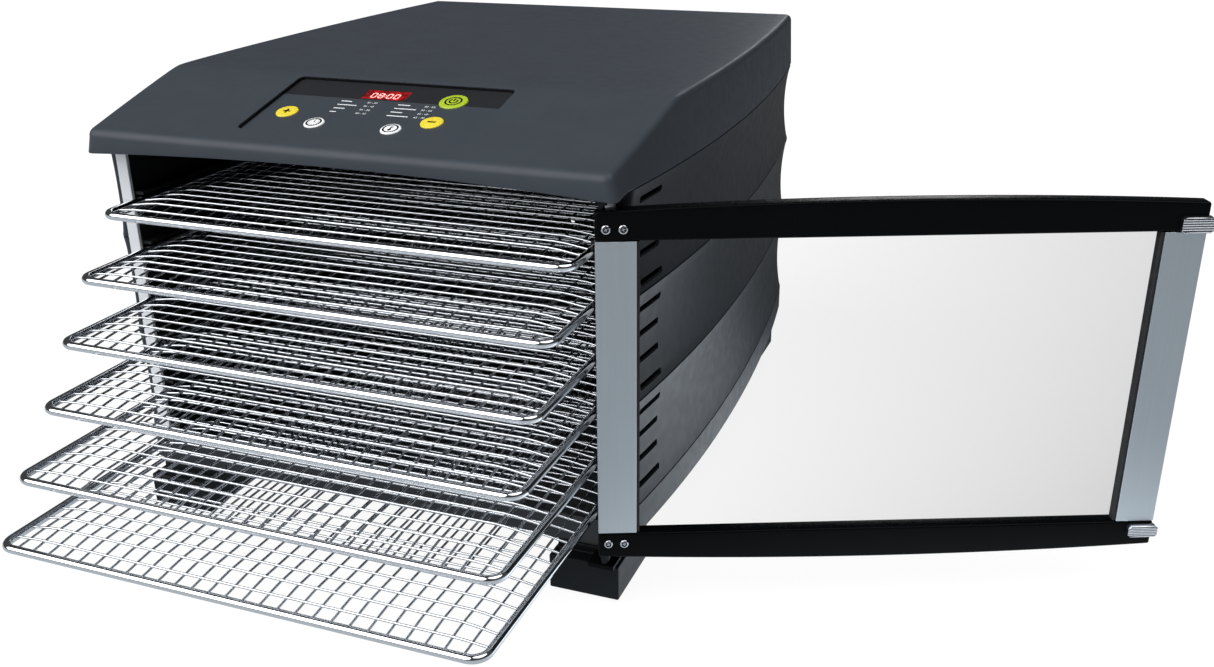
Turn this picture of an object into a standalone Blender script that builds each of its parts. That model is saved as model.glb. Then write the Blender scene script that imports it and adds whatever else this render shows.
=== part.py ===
"""Six-tray food dehydrator with a side-hinged glass door, built as separate pieces.

Body frame: +X to the right seen from the front, -Y to the front, +Z up.  X = 0 is the
middle of the body, Y = 0 the mouth of the drying chamber, Z = 0 the ground.
The root is moved last, so that the scene origin is the bottom centre of the whole.
"""
import math

import bmesh
import bpy
import numpy as np
from mathutils import Matrix, Vector

GAP = 0.0003                     # clearance between pieces that touch

# ---- driving sizes ----------------------------------------------------------------
TRAY_W = 0.3200
TRAY_D = 0.3100
TRAY_PITCH = 0.03358
TRAYS = 6
SHEET = 0.0025                   # moulded wall thickness
PAN_TOP = 0.0505                 # chamber floor above the ground

# ---- trays ------------------------------------------------------------------------
TRAY_ROD = 0.0026                # radius of the rim rod
TRAY_CORNER = 0.0110
TRAY_WIRE = 0.0011
TRAY_BARS_X = 5
TRAY_BARS_Y = 4
TRAY_HOME_Y = 0.0060             # axis of the front rim rod with a tray fully home
TRAY_OUT = (0.0351, 0.0629, 0.0867, 0.1092, 0.1368, 0.1582)
TRAY_LOW_Z = PAN_TOP + 0.0055
TRAY_TOP_Z = TRAY_LOW_Z + (TRAYS - 1) * TRAY_PITCH
SIDE_PLAY = 0.0025

# ---- chamber ----------------------------------------------------------------------
LINER_T = 0.0020
LINER_FRONT = 0.0063
CHAMBER_D = TRAY_HOME_Y + TRAY_D + 0.0140
CEILING_Z = TRAY_TOP_Z + 0.0401
CEILING_T = 0.0025
LEDGE_W = 0.0100
LEDGE_T = 0.0020
GUIDE_W = 0.0065
GUIDE_PLAY = 0.0010
POST_T = 0.0026

# ---- plan of the body -------------------------------------------------------------
LIP_Y = -0.0135                  # front face of the hood
BACK_Y = CHAMBER_D + 0.1100
WIDEST_Y = 0.391 * BACK_Y
HALF_MAX = TRAY_W / 2 + 0.0310   # widest half width of the side walls
FRONT_DROP = 0.0123              # half width lost from the widest place to the lip
BACK_DROP = 0.0200               # half width lost from the widest place to the back
WALL_FRONT_Y = 0.0060            # front face of the walls' front flange
WALL_FLANGE = 0.0032
WALL_CORNER = 0.0070
WALL_BACK_CORNER = 0.0120
WAVE = 0.0032                    # hollow of each band between two seams

# ---- heights ----------------------------------------------------------------------
PAD_T = 0.0020
SKIRT_Z = PAN_TOP - 0.0102       # lower edge of the side walls
NOSE_Z = PAN_TOP - 0.0170        # lower edge of the walls beside the front feet
NOSE_Y = 0.0250                  # how far back that lower edge runs
PAN_FRONT_Z = PAN_TOP - 0.0185
PAN_FRONT_Y = 0.0036
LIP_BOTTOM = CEILING_Z - 0.0064
LIP_ARCH = 0.0055
LIP_TOP = LIP_BOTTOM + 0.0145
SEAM_LOW = PAN_TOP + 0.0095
SEAM_TOP = LIP_BOTTOM + 0.0033
SEAM_SPAN = SEAM_TOP - SEAM_LOW
SEAMS = (SEAM_LOW, SEAM_LOW + 0.349 * SEAM_SPAN, SEAM_LOW + 0.682 * SEAM_SPAN, SEAM_TOP)

# ---- hood -------------------------------------------------------------------------
CREST_Y = 0.0843
CREST_Z = LIP_TOP + 0.0254
HOOD_BACK_Z = CREST_Z + 0.0038
EDGE_HALF = HALF_MAX - 0.0065    # half width of the hood's upper edge at the widest
EDGE_FRONT_DROP = 0.0085
EDGE_BACK_DROP = 0.0150
HOOD_CORNER = 0.0060
HOOD_ROUND = 0.0045

# ---- door -------------------------------------------------------------------------
DOOR_INBOARD = 0.0133            # axis inboard of the walls' front corners
DOOR_OPEN_DEG = 202.6            # opening from shut
DOOR_HEEL = 0.0040               # door beyond the axis on the hinge side
DOOR_IN = 0.0060                 # axis to the inner face
DOOR_OUT = 0.0070                # axis to the outer face
STRIP_W = 0.0230
STRIP_BACK = -0.0007
GLASS_OUT = -0.0045
GLASS_IN = -0.0010
GLASS_INSET = 0.0012             # glass edge inside the ends of the rails
RAIL_BITE = 0.0070               # how far the glass enters each rail
TOP_RAIL_END = 0.0184
TOP_RAIL_ARCH = 0.0045
TOP_RAIL_Z = LIP_BOTTOM - TOP_RAIL_END - 0.0032
LOW_RAIL_Z = PAN_TOP + 0.0040
LOW_RAIL_END = 0.0180
LOW_RAIL_ARCH = 0.0042
PIN_R = 0.0020
PIN_COLLAR = PIN_R + 0.0013
PIN_DEEP = 0.0095
SCREW_R = 0.0028
SCREW_SHANK = 0.0015
SCREW_HEAD = 0.0012
SCREW_LONG = 0.0035
SCREW_U = (0.0020, 0.0115)
LUG_W = 0.0185
LUG_H = 0.0115
LUG_T = 0.0040
LUG_PROUD = 0.0035
LUG_RIBS = 4
BRACKET_T = 0.0030

# ---- control panel ----------------------------------------------------------------
PANEL_X = 0.0018
PANEL_HALF = 0.0778
PANEL_Y0 = 0.0050
PANEL_Y1 = 0.0793
PANEL_SINK = 0.0010
PANEL_T = 0.0025
PANEL_FLANGE = 0.0040
BOARD_T = 0.0016
STANDOFF = 0.0033
BUTTONS = {                      # name: (x, y, radius)
    "power_button": (0.0450, 0.0595, 0.0095),
    "minus_button": (0.0452, 0.0314, 0.0076),
    "plus_button": (-0.0567, 0.0312, 0.0076),
    "timer_button": (-0.0297, 0.0190, 0.0066),
    "temperature_button": (0.0245, 0.0187, 0.0066),
}
BUTTON_RISE = 0.0018             # cap top above the panel face
BUTTON_FLANGE = 0.0016
BUTTON_FLANGE_T = 0.0015
BUTTON_STEM = 0.0007
WINDOW = (-0.0037, 0.0626, 0.0265, 0.0110)

# ---- rear compartment -------------------------------------------------------------
FAN_Z = (PAN_TOP + CEILING_Z) / 2 - 0.0052
BAFFLE_T = 0.0020
GRILLE_R = 0.0740
DUCT_R = 0.0800
DUCT_T = 0.0020
DUCT_D = 0.0380
HEATER_R = 0.0560
HEATER_TUBE = 0.0034
HEATER_ARM = 0.0018
FAN_R = 0.0700
FAN_HUB = 0.0180
FAN_D = 0.0160
FAN_Y = CHAMBER_D + 0.0230
FAN_BLADES = 6
MOTOR_R = 0.0300
MOTOR_D = 0.0420
SHAFT_R = 0.0030
REAR_T = 0.0023
REAR_INBOARD = 0.0105            # rear cover edge inboard of the walls at the back
GLAND_R = 0.0075
GLAND_Z = PAN_TOP + 0.0255
GLAND_INBOARD = 0.0485           # gland axis inboard of the rear cover's edge

# ---- vents ------------------------------------------------------------------------
VENT_COUNT = 12
VENT_PITCH = SEAM_SPAN / (VENT_COUNT + 0.21)
VENT_Z0 = SEAM_LOW + 0.0108
VENT_Y0 = 0.0190
VENT_Y1 = 0.0490
VENT_H = 0.0042

# ---- feet -------------------------------------------------------------------------
FOOT_W = 0.0460
FOOT_INBOARD = 0.0093
FOOT_FRONT = -0.0065
FOOT_BACK = 0.0456
TOE_TOP = PAN_TOP - 0.0245
REAR_FOOT_W = 0.0405
REAR_FOOT_INBOARD = 0.0058
REAR_FOOT_D = 0.0390

# colour, roughness, metallic
FINISHES = {
    "hood": ((0.046, 0.051, 0.060), 0.42, 0.0),
    "wall": ((0.052, 0.058, 0.067), 0.38, 0.0),
    "panel": ((0.045, 0.052, 0.062), 0.35, 0.0),
    "black": ((0.012, 0.013, 0.015), 0.30, 0.0),
    "foot": ((0.016, 0.018, 0.020), 0.45, 0.0),
    "rubber": ((0.010, 0.010, 0.011), 0.80, 0.0),
    "chrome": ((0.72, 0.73, 0.75), 0.14, 1.0),
    "aluminium": ((0.44, 0.47, 0.51), 0.36, 1.0),
    "bright": ((0.80, 0.81, 0.83), 0.25, 1.0),
    "inner": ((0.030, 0.033, 0.038), 0.55, 0.0),
    "sheet": ((0.10, 0.11, 0.12), 0.45, 0.8),
    "glass": ((0.90, 0.94, 0.95), 0.04, 0.0),
    "led": ((0.35, 0.01, 0.01), 0.20, 0.0),
    "board": ((0.02, 0.12, 0.05), 0.50, 0.0),
    "motor": ((0.20, 0.21, 0.22), 0.40, 0.9),
    "heater": ((0.30, 0.28, 0.26), 0.45, 0.9),
    "green": ((0.42, 0.55, 0.05), 0.35, 0.0),
    "yellow": ((0.85, 0.66, 0.03), 0.35, 0.0),
    "white": ((0.75, 0.77, 0.78), 0.35, 0.0),
}


# ==== small helpers ================================================================
def clear_scene():
    for item in list(bpy.data.objects):
        bpy.data.objects.remove(item, do_unlink=True)


def finish_material(node, finish):
    colour, rough, metal = FINISHES[finish]
    mat = bpy.data.materials.new(node + "_mat")
    mat.use_nodes = True
    shader = mat.node_tree.nodes["Principled BSDF"]
    shader.inputs["Base Color"].default_value = (*colour, 1.0)
    shader.inputs["Roughness"].default_value = rough
    shader.inputs["Metallic"].default_value = metal
    if finish == "glass":
        shader.inputs["Transmission Weight"].default_value = 0.95
        shader.inputs["IOR"].default_value = 1.5
    mat.diffuse_color = (*colour, 1.0)
    return mat


def solid(bm):
    """Tidy one closed bmesh: weld, flat n-gons kept, faces turned outward."""
    bmesh.ops.remove_doubles(bm, verts=bm.verts, dist=1e-6)
    bmesh.ops.recalc_face_normals(bm, faces=bm.faces)
    return bm


def node_from(name, bm, finish, parent, shade=False):
    mesh = bpy.data.meshes.new(name)
    bm.to_mesh(mesh)
    bm.free()
    if shade:
        mesh.shade_smooth()
        mesh.set_sharp_from_angle(angle=math.radians(35.0))
    node = bpy.data.objects.new(name, mesh)
    bpy.context.scene.collection.objects.link(node)
    mesh.materials.append(finish_material(name, finish))
    node.parent = parent
    return node


def box(x0, x1, y0, y1, z0, z1):
    bm = bmesh.new()
    bmesh.ops.create_cube(bm, size=1.0)
    scale = Matrix.Diagonal((x1 - x0, y1 - y0, z1 - z0, 1.0))
    move = Matrix.Translation(((x0 + x1) / 2, (y0 + y1) / 2, (z0 + z1) / 2))
    bm.transform(move @ scale)
    return bm


def turned(profile, segments, frame=Matrix.Identity(4)):
    """Solid of revolution about local Z from (radius, height) pairs, ends at radius 0."""
    bm = bmesh.new()
    rings = []
    for radius, height in profile:
        if radius < 1e-9:
            rings.append([bm.verts.new((0.0, 0.0, height))])
            continue
        ring = []
        for k in range(segments):
            a = 2.0 * math.pi * k / segments
            ring.append(bm.verts.new((radius * math.cos(a), radius * math.sin(a), height)))
        rings.append(ring)
    for low, high in zip(rings, rings[1:]):
        for k in range(segments):
            n = (k + 1) % segments
            if len(low) == 1:
                bm.faces.new((low[0], high[k], high[n]))
            elif len(high) == 1:
                bm.faces.new((low[k], low[n], high[0]))
            else:
                bm.faces.new((low[k], low[n], high[n], high[k]))
    solid(bm)
    bm.transform(frame)
    return bm


def drum(radius, z0, z1, segments, frame=Matrix.Identity(4)):
    return turned(((0.0, z0), (radius, z0), (radius, z1), (0.0, z1)), segments, frame)


def extrude(points, axis, a, b):
    """Prism from a closed outline; axis names the direction swept from a to b."""
    order = {"x": lambda p, t: (t, p[0], p[1]),
             "y": lambda p, t: (p[0], t, p[1]),
             "z": lambda p, t: (p[0], p[1], t)}[axis]
    bm = bmesh.new()
    low = [bm.verts.new(order(p, a)) for p in points]
    high = [bm.verts.new(order(p, b)) for p in points]
    bm.faces.new(low)
    bm.faces.new(high[::-1])
    for k in range(len(points)):
        n = (k + 1) % len(points)
        bm.faces.new((low[k], high[k], high[n], low[n]))
    return solid(bm)


def scratch(bm):
    mesh = bpy.data.meshes.new("scratch")
    bm.to_mesh(mesh)
    bm.free()
    item = bpy.data.objects.new("scratch", mesh)
    bpy.context.scene.collection.objects.link(item)
    return item


def combine(base, others, kind):
    """Exact boolean of one bmesh with a list of others, returned as a new bmesh."""
    target = scratch(base)
    for other in others:
        tool = scratch(other)
        step = target.modifiers.new("step", "BOOLEAN")
        step.operation = kind
        step.solver = "EXACT"
        step.object = tool
        bpy.context.view_layer.update()
        graph = bpy.context.evaluated_depsgraph_get()
        baked = bpy.data.meshes.new_from_object(target.evaluated_get(graph))
        target.modifiers.clear()
        target.data = baked
        bpy.data.objects.remove(tool, do_unlink=True)
    bm = bmesh.new()
    bm.from_mesh(target.data)
    bpy.data.objects.remove(target, do_unlink=True)
    bmesh.ops.dissolve_limit(bm, angle_limit=0.0006, verts=bm.verts, edges=bm.edges)
    bmesh.ops.triangulate(bm, faces=[f for f in bm.faces if len(f.verts) > 4])
    return solid(bm)


def join(base, others):
    return combine(base, others, "UNION")


def cut(base, others):
    return combine(base, others, "DIFFERENCE")


def mirrored(bm):
    bm.transform(Matrix.Diagonal((-1.0, 1.0, 1.0, 1.0)))
    bmesh.ops.reverse_faces(bm, faces=bm.faces)
    return bm


def along(axis, origin):
    """Frame whose local Z points along the named world axis."""
    turn = {"x": Matrix.Rotation(math.pi / 2, 4, "Y"),
            "y": Matrix.Rotation(-math.pi / 2, 4, "X"),
            "z": Matrix.Identity(4)}[axis]
    return Matrix.Translation(origin) @ turn


# ==== plan curves ==================================================================
def bowed(y, widest, front_drop, back_drop):
    """Half width at depth y: two parabolas that meet at the widest place."""
    if y < WIDEST_Y:
        return widest - front_drop * ((WIDEST_Y - y) / (WIDEST_Y - LIP_Y)) ** 2
    return widest - back_drop * ((y - WIDEST_Y) / (BACK_Y - WIDEST_Y)) ** 2


def wall_half(y):
    return bowed(y, HALF_MAX, FRONT_DROP, BACK_DROP)


def edge_half(y):
    return bowed(y, EDGE_HALF, EDGE_FRONT_DROP, EDGE_BACK_DROP)


def corner_arc(cx, cy, radius, start, end, count):
    """Points of an arc, angles in degrees, both ends included."""
    out = []
    for a in np.linspace(start, end, count):
        out.append((cx + radius * math.cos(math.radians(a)),
                    cy + radius * math.sin(math.radians(a))))
    return out


def half_outline(half, y0, y1, front_r, back_r, stops, steps=4):
    """Right-hand half of a plan outline from the front edge round to the back edge."""
    front_x = half(y0 + front_r) - front_r
    back_x = half(y1 - back_r) - back_r
    pts = corner_arc(front_x, y0 + front_r, front_r, -90.0, 0.0, steps)
    pts += [(half(y), y) for y in stops if y0 + front_r < y < y1 - back_r]
    pts += corner_arc(back_x, y1 - back_r, back_r, 0.0, 90.0, steps)
    return pts


def normals_of(points):
    """Outward unit normals of an open polyline walked with the outside on its right."""
    p = np.array(points)
    t = np.gradient(p, axis=0)
    n = np.stack([t[:, 1], -t[:, 0]], axis=1)
    return n / np.linalg.norm(n, axis=1)[:, None]


HOOD_STOPS = (0.0005, 0.020, 0.045, 0.070, 0.0785, 0.084, 0.0895, 0.098, 0.130, 0.172,
              0.225, 0.280, 0.335, 0.385)
STOPS = (0.024, 0.0262, 0.070, 0.120, 0.172, 0.240, 0.310, 0.370)


def door_axis():
    """Plan position of the door's axis: clear of the lip's back and the wall's corner."""
    x = wall_half(WALL_FRONT_Y) - DOOR_INBOARD
    y = LIP_Y + SHEET + PIN_COLLAR + GAP + 0.0001
    return x, y


def door_reach():
    """Axis to the free edge, so that the shut door covers the mouth evenly."""
    return 2.0 * door_axis()[0] - 0.0015


def rear_half():
    return wall_half(BACK_Y) - REAR_INBOARD


# ==== hood =========================================================================
def roof(y):
    """Height of the hood's roof line: sloped apron, soft crest, nearly level top."""
    apron = LIP_TOP + (CREST_Z - LIP_TOP) * (y - LIP_Y) / (CREST_Y - LIP_Y)
    level = CREST_Z + (HOOD_BACK_Z - CREST_Z) * (y - CREST_Y) / (BACK_Y - CREST_Y)
    soft = 0.0012
    gap = level - apron
    return apron + 0.5 * (gap - math.sqrt(gap * gap + soft * soft)) + 0.0006


def hood_loop(inset, shrink):
    """Closed plan loop of the hood; shrink 0 is the foot of the side, 1 its upper edge."""
    def half(y):
        return (1.0 - shrink) * wall_half(y) + shrink * edge_half(y)
    pts = half_outline(half, LIP_Y, BACK_Y, HOOD_CORNER, HOOD_CORNER, HOOD_STOPS)
    pts = [tuple(q) for q in np.array(pts) - inset * normals_of_half(pts)]
    return pts


def normals_of_half(pts):
    n = normals_of(pts)
    n[0] = (0.0, -1.0)
    n[-1] = (0.0, 1.0)
    return n


def hood_ring(bm, inset, shrink, height, fronts):
    """One ring of vertices: right half, back edge, left half, front edge."""
    right = hood_loop(inset, shrink)
    left = [(-x, y) for x, y in right[::-1]]
    front_x = right[0][0]
    front = [(front_x * f, right[0][1]) for f in fronts]
    loop = front + right + left
    return [bm.verts.new((x, y, height(x, y))) for x, y in loop]


def skin(bm, low, high):
    n = len(low)
    for k in range(n):
        m = (k + 1) % n
        bm.faces.new((low[k], low[m], high[m], high[k]))


def cap_rows(bm, ring, fronts):
    """Close a hood ring across with quads between its left and right halves."""
    f = len(fronts)
    side = (len(ring) - f) // 2
    right = ring[f:f + side]
    left = ring[f + side:][::-1]
    bm.faces.new([left[0]] + ring[:f] + [right[0]] + [right[1], left[1]])
    for k in range(1, side - 1):
        bm.faces.new((left[k], right[k], right[k + 1], left[k + 1]))


def lip_height(x, y):
    """Lower edge of the hood: arched across the front, level along the sides."""
    if y < LIP_Y + SHEET + 0.0001:
        return LIP_BOTTOM + LIP_ARCH * max(0.0, 1.0 - (x / wall_half(LIP_Y)) ** 2)
    blend = min(1.0, (y - LIP_Y - SHEET) / 0.010)
    return LIP_BOTTOM + (SEAMS[3] - LIP_BOTTOM) * blend


def build_hood(root, frame):
    fronts = (-0.8, -0.55, -0.28, 0.0, 0.28, 0.55, 0.8)
    bm = bmesh.new()
    r = HOOD_ROUND
    rings = [hood_ring(bm, 0.0, 0.0, lip_height, fronts)]
    for step in range(4):
        a = math.radians(30.0 * step)
        inset = r * (1.0 - math.cos(a))
        drop = r * (1.0 - math.sin(a))
        rings.append(hood_ring(bm, inset, 1.0, lambda x, y, d=drop: roof(y) - d, fronts))
    inner = [hood_ring(bm, SHEET, 0.0, lip_height, fronts),
             hood_ring(bm, SHEET, 1.0, lambda x, y: roof(y) - r - SHEET, fronts),
             hood_ring(bm, SHEET + 0.3 * r, 1.0, lambda x, y: roof(y) - SHEET, fronts)]
    for low, high in zip(rings, rings[1:]):
        skin(bm, low, high)
    cap_rows(bm, rings[-1], fronts)
    for low, high in zip(inner, inner[1:]):
        skin(bm, high, low)
    cap_rows(bm, inner[-1], fronts)
    skin(bm, inner[0], rings[0])
    solid(bm)
    bmesh.ops.triangulate(bm, faces=[f for f in bm.faces if len(f.verts) > 4])
    depth = panel_depth() / 2.0
    window = box(-PANEL_HALF, PANEL_HALF, -depth, depth, -0.008, 0.008)
    window.transform(frame)
    return node_from("hood", cut(bm, [window]), "hood", root, shade=True)


# ==== control panel ================================================================
def panel_slope():
    return math.atan2(CREST_Z - LIP_TOP, CREST_Y - LIP_Y)


def panel_depth():
    return (PANEL_Y1 - PANEL_Y0) / math.cos(panel_slope())


def panel_frame():
    """Local frame of the sloped apron: X across, Y up the slope, Z outward."""
    y = (PANEL_Y0 + PANEL_Y1) / 2.0
    z = LIP_TOP + (y - LIP_Y) * math.tan(panel_slope())
    return Matrix.Translation((PANEL_X, y, z)) @ Matrix.Rotation(panel_slope(), 4, "X")


def on_panel(x, y):
    """Body coordinates (x, y) of a place on the apron, as panel coordinates."""
    mid = (PANEL_Y0 + PANEL_Y1) / 2.0
    return x - PANEL_X, (y - mid) / math.cos(panel_slope())


def panel_under():
    """Local height of the underside of the panel's flange."""
    return -(SHEET + GAP + PANEL_T)


def board_top():
    return panel_under() - STANDOFF - GAP


def build_panel(root, frame):
    depth = panel_depth() / 2.0
    wide = PANEL_HALF + PANEL_FLANGE
    face = box(-PANEL_HALF + GAP, PANEL_HALF - GAP, -depth + GAP, depth - GAP,
               -PANEL_SINK - PANEL_T, -PANEL_SINK)
    flange = box(-wide, wide, -depth - 0.0030, depth + 0.0020, panel_under(), -SHEET - GAP)
    posts = []
    for sx in (-1.0, 1.0):
        for sy in (-1.0, 1.0):
            at = Matrix.Translation((sx * 0.0705, sy * 0.024 + 0.006, 0.0))
            posts.append(drum(0.0025, board_top() + GAP, -PANEL_SINK - 0.002, 10, at))
    holes = []
    for x, y, radius in BUTTONS.values():
        px, py = on_panel(x, y)
        at = Matrix.Translation((px, py, 0.0))
        holes.append(drum(radius + GAP, -0.010, 0.004, 20, at))
    wx, wy, ww, wd = WINDOW
    px, py = on_panel(wx, wy)
    holes.append(box(px - ww / 2 - GAP, px + ww / 2 + GAP, py - wd / 2 - GAP,
                     py + wd / 2 + GAP, -0.010, 0.004))
    bm = cut(join(face, [flange] + posts), holes)
    bm.transform(frame)
    return node_from("control_panel", bm, "panel", root)


def build_window(root, frame):
    wx, wy, ww, wd = WINDOW
    px, py = on_panel(wx, wy)
    lens = box(px - ww / 2, px + ww / 2, py - wd / 2, py + wd / 2,
               panel_under(), -PANEL_SINK - 0.0001)
    lens.transform(frame)
    node_from("display_window", lens, "led", root)
    block = box(px - ww / 2 - 0.002, px + ww / 2 + 0.002, py - wd / 2 - 0.002,
                py + wd / 2 + 0.002, board_top() + GAP, panel_under() - GAP)
    block.transform(frame)
    node_from("display_module", block, "black", root)
    card = box(-0.073, 0.073, -0.028, 0.036, board_top() - BOARD_T, board_top())
    card.transform(frame)
    node_from("control_board", card, "board", root)


def build_button(name, root, frame):
    x, y, radius = BUTTONS[name]
    px, py = on_panel(x, y)
    top = -PANEL_SINK + BUTTON_RISE
    under = panel_under() - GAP
    low = under - BUTTON_FLANGE_T
    stem = low - BUTTON_STEM
    profile = ((0.0, stem), (0.0020, stem), (0.0020, low), (radius + BUTTON_FLANGE, low),
               (radius + BUTTON_FLANGE, under), (radius, under), (radius, top - 0.0008),
               (radius - 0.0006, top - 0.0002), (radius - 0.0022, top), (0.0, top))
    colour = {"power_button": "green", "minus_button": "yellow",
              "plus_button": "yellow"}.get(name, "white")
    pivot = bpy.data.objects.new(name + "_slide", None)
    bpy.context.scene.collection.objects.link(pivot)
    pivot.parent = root
    pivot.matrix_basis = frame @ Matrix.Translation((px, py, 0.0))
    return node_from(name, turned(profile, 20), colour, pivot, shade=True)


# ==== side walls ===================================================================
def wall_path():
    """Plan of the right wall from its front flange round to its rear flange."""
    pts = half_outline(wall_half, WALL_FRONT_Y, BACK_Y, WALL_CORNER, WALL_BACK_CORNER,
                       STOPS, 5)
    flange_x = rear_half() - REAR_INBOARD
    return [(pts[0][0] - WALL_FLANGE, WALL_FRONT_Y)] + pts + [(flange_x, BACK_Y)]


def wall_rows():
    """Heights of the wall's rows, each with its inward wave."""
    rows = [(None, 0.0), (0.5 * (SKIRT_Z + SEAMS[0]), 0.0)]
    for low, high in zip(SEAMS, SEAMS[1:]):
        for t in (0.0, 0.28, 0.72):
            rows.append((low + (high - low) * t, WAVE * math.sin(math.pi * t) ** 0.5))
    rows.append((SEAMS[3] - GAP, 0.0))
    return rows


def wall_bottom(y):
    return NOSE_Z if y < NOSE_Y else SKIRT_Z


def wall_mesh():
    path = np.array(wall_path())
    norm = normals_of(path)
    norm[0] = (0.0, -1.0)
    norm[-1] = (0.0, 1.0)
    share = np.ones((len(path), 1))
    share[:4, 0] = (0.0, 0.0, 0.3, 0.7)
    share[-4:, 0] = (0.7, 0.3, 0.0, 0.0)
    bm = bmesh.new()
    outer = []
    inner = []
    for z, wave in wall_rows():
        for side, depth in ((outer, 0.0), (inner, SHEET)):
            pts = path - norm * (depth + wave * share)
            row = []
            for (x, y), (_, y_ref) in zip(pts, path):
                row.append(bm.verts.new((x, y, wall_bottom(y_ref) if z is None else z)))
            side.append(row)
    n = len(path)
    m = len(outer)
    for j in range(m - 1):
        for i in range(n - 1):
            bm.faces.new((outer[j][i], outer[j][i + 1], outer[j + 1][i + 1], outer[j + 1][i]))
            bm.faces.new((inner[j][i], inner[j + 1][i], inner[j + 1][i + 1], inner[j][i + 1]))
    for i in range(n - 1):
        bm.faces.new((outer[0][i], inner[0][i], inner[0][i + 1], outer[0][i + 1]))
        bm.faces.new((outer[-1][i], outer[-1][i + 1], inner[-1][i + 1], inner[-1][i]))
    for j in range(m - 1):
        bm.faces.new((outer[j][0], outer[j + 1][0], inner[j + 1][0], inner[j][0]))
        bm.faces.new((outer[j][-1], inner[j][-1], inner[j + 1][-1], outer[j + 1][-1]))
    return solid(bm)


def vent_cutters():
    cutters = []
    for k in range(VENT_COUNT):
        z = VENT_Z0 + VENT_PITCH * k
        outline = [(VENT_Y0, z - VENT_H / 2), (VENT_Y1, z - VENT_H / 2),
                   (VENT_Y1, z + VENT_H / 2), (VENT_Y0, z + VENT_H / 2)]
        cutters.append(extrude(outline, "x", HALF_MAX - 0.026, HALF_MAX + 0.009))
    return cutters


def build_walls(root):
    for name, flip in (("side_wall_right", False), ("side_wall_left", True)):
        bm = cut(wall_mesh(), vent_cutters())
        if flip:
            mirrored(bm)
        node_from(name, bm, "wall", root, shade=True)


# ==== base =========================================================================
def pan_half(y):
    return wall_half(y) - SHEET - GAP


def pan_outline(inset):
    """Closed plan of the pan: a narrow nose between the wall fronts, then full width."""
    nose_x = wall_path()[0][0] - GAP - inset
    y0 = PAN_FRONT_Y + inset
    y1 = BACK_Y - SHEET - GAP - REAR_T - GAP
    bend = WALL_FRONT_Y + WALL_CORNER
    bend_r = WALL_CORNER - SHEET - GAP - inset
    bend_x = wall_half(bend) - WALL_CORNER
    back_r = 0.0092
    back_x = pan_half(y1 - back_r) - back_r
    right = [(nose_x, y0), (nose_x, bend - bend_r)]
    right += corner_arc(bend_x, bend, bend_r, -90.0, 0.0, 4)
    right += [(pan_half(y) - inset, y) for y in STOPS if bend < y < y1 - back_r]
    right += corner_arc(back_x, y1 - back_r, back_r - inset, 0.0, 90.0, 4)
    return right + [(-x, y) for x, y in right[::-1]]


def pan_rim(y):
    if y < 0.0100:
        return PAN_FRONT_Z
    return wall_bottom(y)


def build_pan(root):
    bm = bmesh.new()
    shell = pan_outline(0.0)
    hollow = pan_outline(SHEET)
    top = [bm.verts.new((x, y, PAN_TOP)) for x, y in shell]
    rim = [bm.verts.new((x, y, pan_rim(y))) for x, y in shell]
    rim_in = [bm.verts.new((x, y, pan_rim(s[1]))) for (x, y), s in zip(hollow, shell)]
    floor = [bm.verts.new((x, y, PAN_TOP - SHEET)) for x, y in hollow]
    bm.faces.new(top)
    bm.faces.new(floor[::-1])
    skin(bm, rim, top)
    skin(bm, rim_in, rim)
    skin(bm, floor, rim_in)
    solid(bm)
    bmesh.ops.triangulate(bm, faces=[f for f in bm.faces if len(f.verts) > 4])
    return node_from("base_pan", bm, "inner", root)


def foot_span(place):
    """Outer box in plan of the right foot at the front or the rear: x0, x1, y0, y1."""
    if place == "front":
        x1 = wall_half(FOOT_BACK) - FOOT_INBOARD
        return x1 - FOOT_W, x1, FOOT_FRONT, FOOT_BACK
    y1 = BACK_Y - 0.0050
    x1 = wall_half(y1) - REAR_FOOT_INBOARD
    return x1 - REAR_FOOT_W, x1, y1 - REAR_FOOT_D, y1


def front_foot():
    x0, x1, y0, y1 = foot_span("front")
    toe = box(x0, x1, y0, y1, PAD_T + GAP, TOE_TOP)
    neck = box(x0 + 0.002, x1 - 0.004, PAN_FRONT_Y - GAP, y1 - 0.003, TOE_TOP - 0.001,
               PAN_FRONT_Z - GAP)
    boss = box(x0 + 0.004, x1 - 0.008, PAN_FRONT_Y + 0.0054, y1 - 0.004,
               PAN_FRONT_Z - 0.001, PAN_TOP - SHEET - GAP)
    return join(toe, [neck, boss])


def rear_foot():
    x0, x1, y0, y1 = foot_span("rear")
    block = box(x0, x1, y0, y1, PAD_T + GAP, SKIRT_Z - GAP)
    boss = box(x0 + 0.004, x1 - 0.014, y0 + 0.004, y1 - 0.010, SKIRT_Z - 0.001,
               PAN_TOP - SHEET - GAP)
    return join(block, [boss])


def build_feet(root):
    rim = 0.0040
    for side, flip in (("right", False), ("left", True)):
        for place, make in (("front", front_foot), ("rear", rear_foot)):
            x0, x1, y0, y1 = foot_span(place)
            foot = make()
            pad = box(x0 + rim, x1 - rim, y0 + rim, y1 - rim, 0.0, PAD_T)
            if flip:
                mirrored(foot)
                mirrored(pad)
            node_from("foot_%s_%s" % (place, side), foot, "foot", root)
            node_from("pad_%s_%s" % (place, side), pad, "rubber", root)


def build_hinge_bracket(root):
    x, y = door_axis()
    z0 = TOE_TOP + GAP
    edge = PIN_R + 0.0022
    plate = box(x - 0.0100, x + 0.0068, y - edge, PAN_FRONT_Y - 2 * GAP, z0, z0 + BRACKET_T)
    hole = drum(PIN_R + GAP, z0 - 0.005, z0 + 0.008, 16, Matrix.Translation((x, y, 0)))
    return node_from("hinge_bracket", cut(plate, [hole]), "black", root)


# ==== chamber ======================================================================
def tray_z(k):
    return TRAY_TOP_Z - TRAY_PITCH * k


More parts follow.
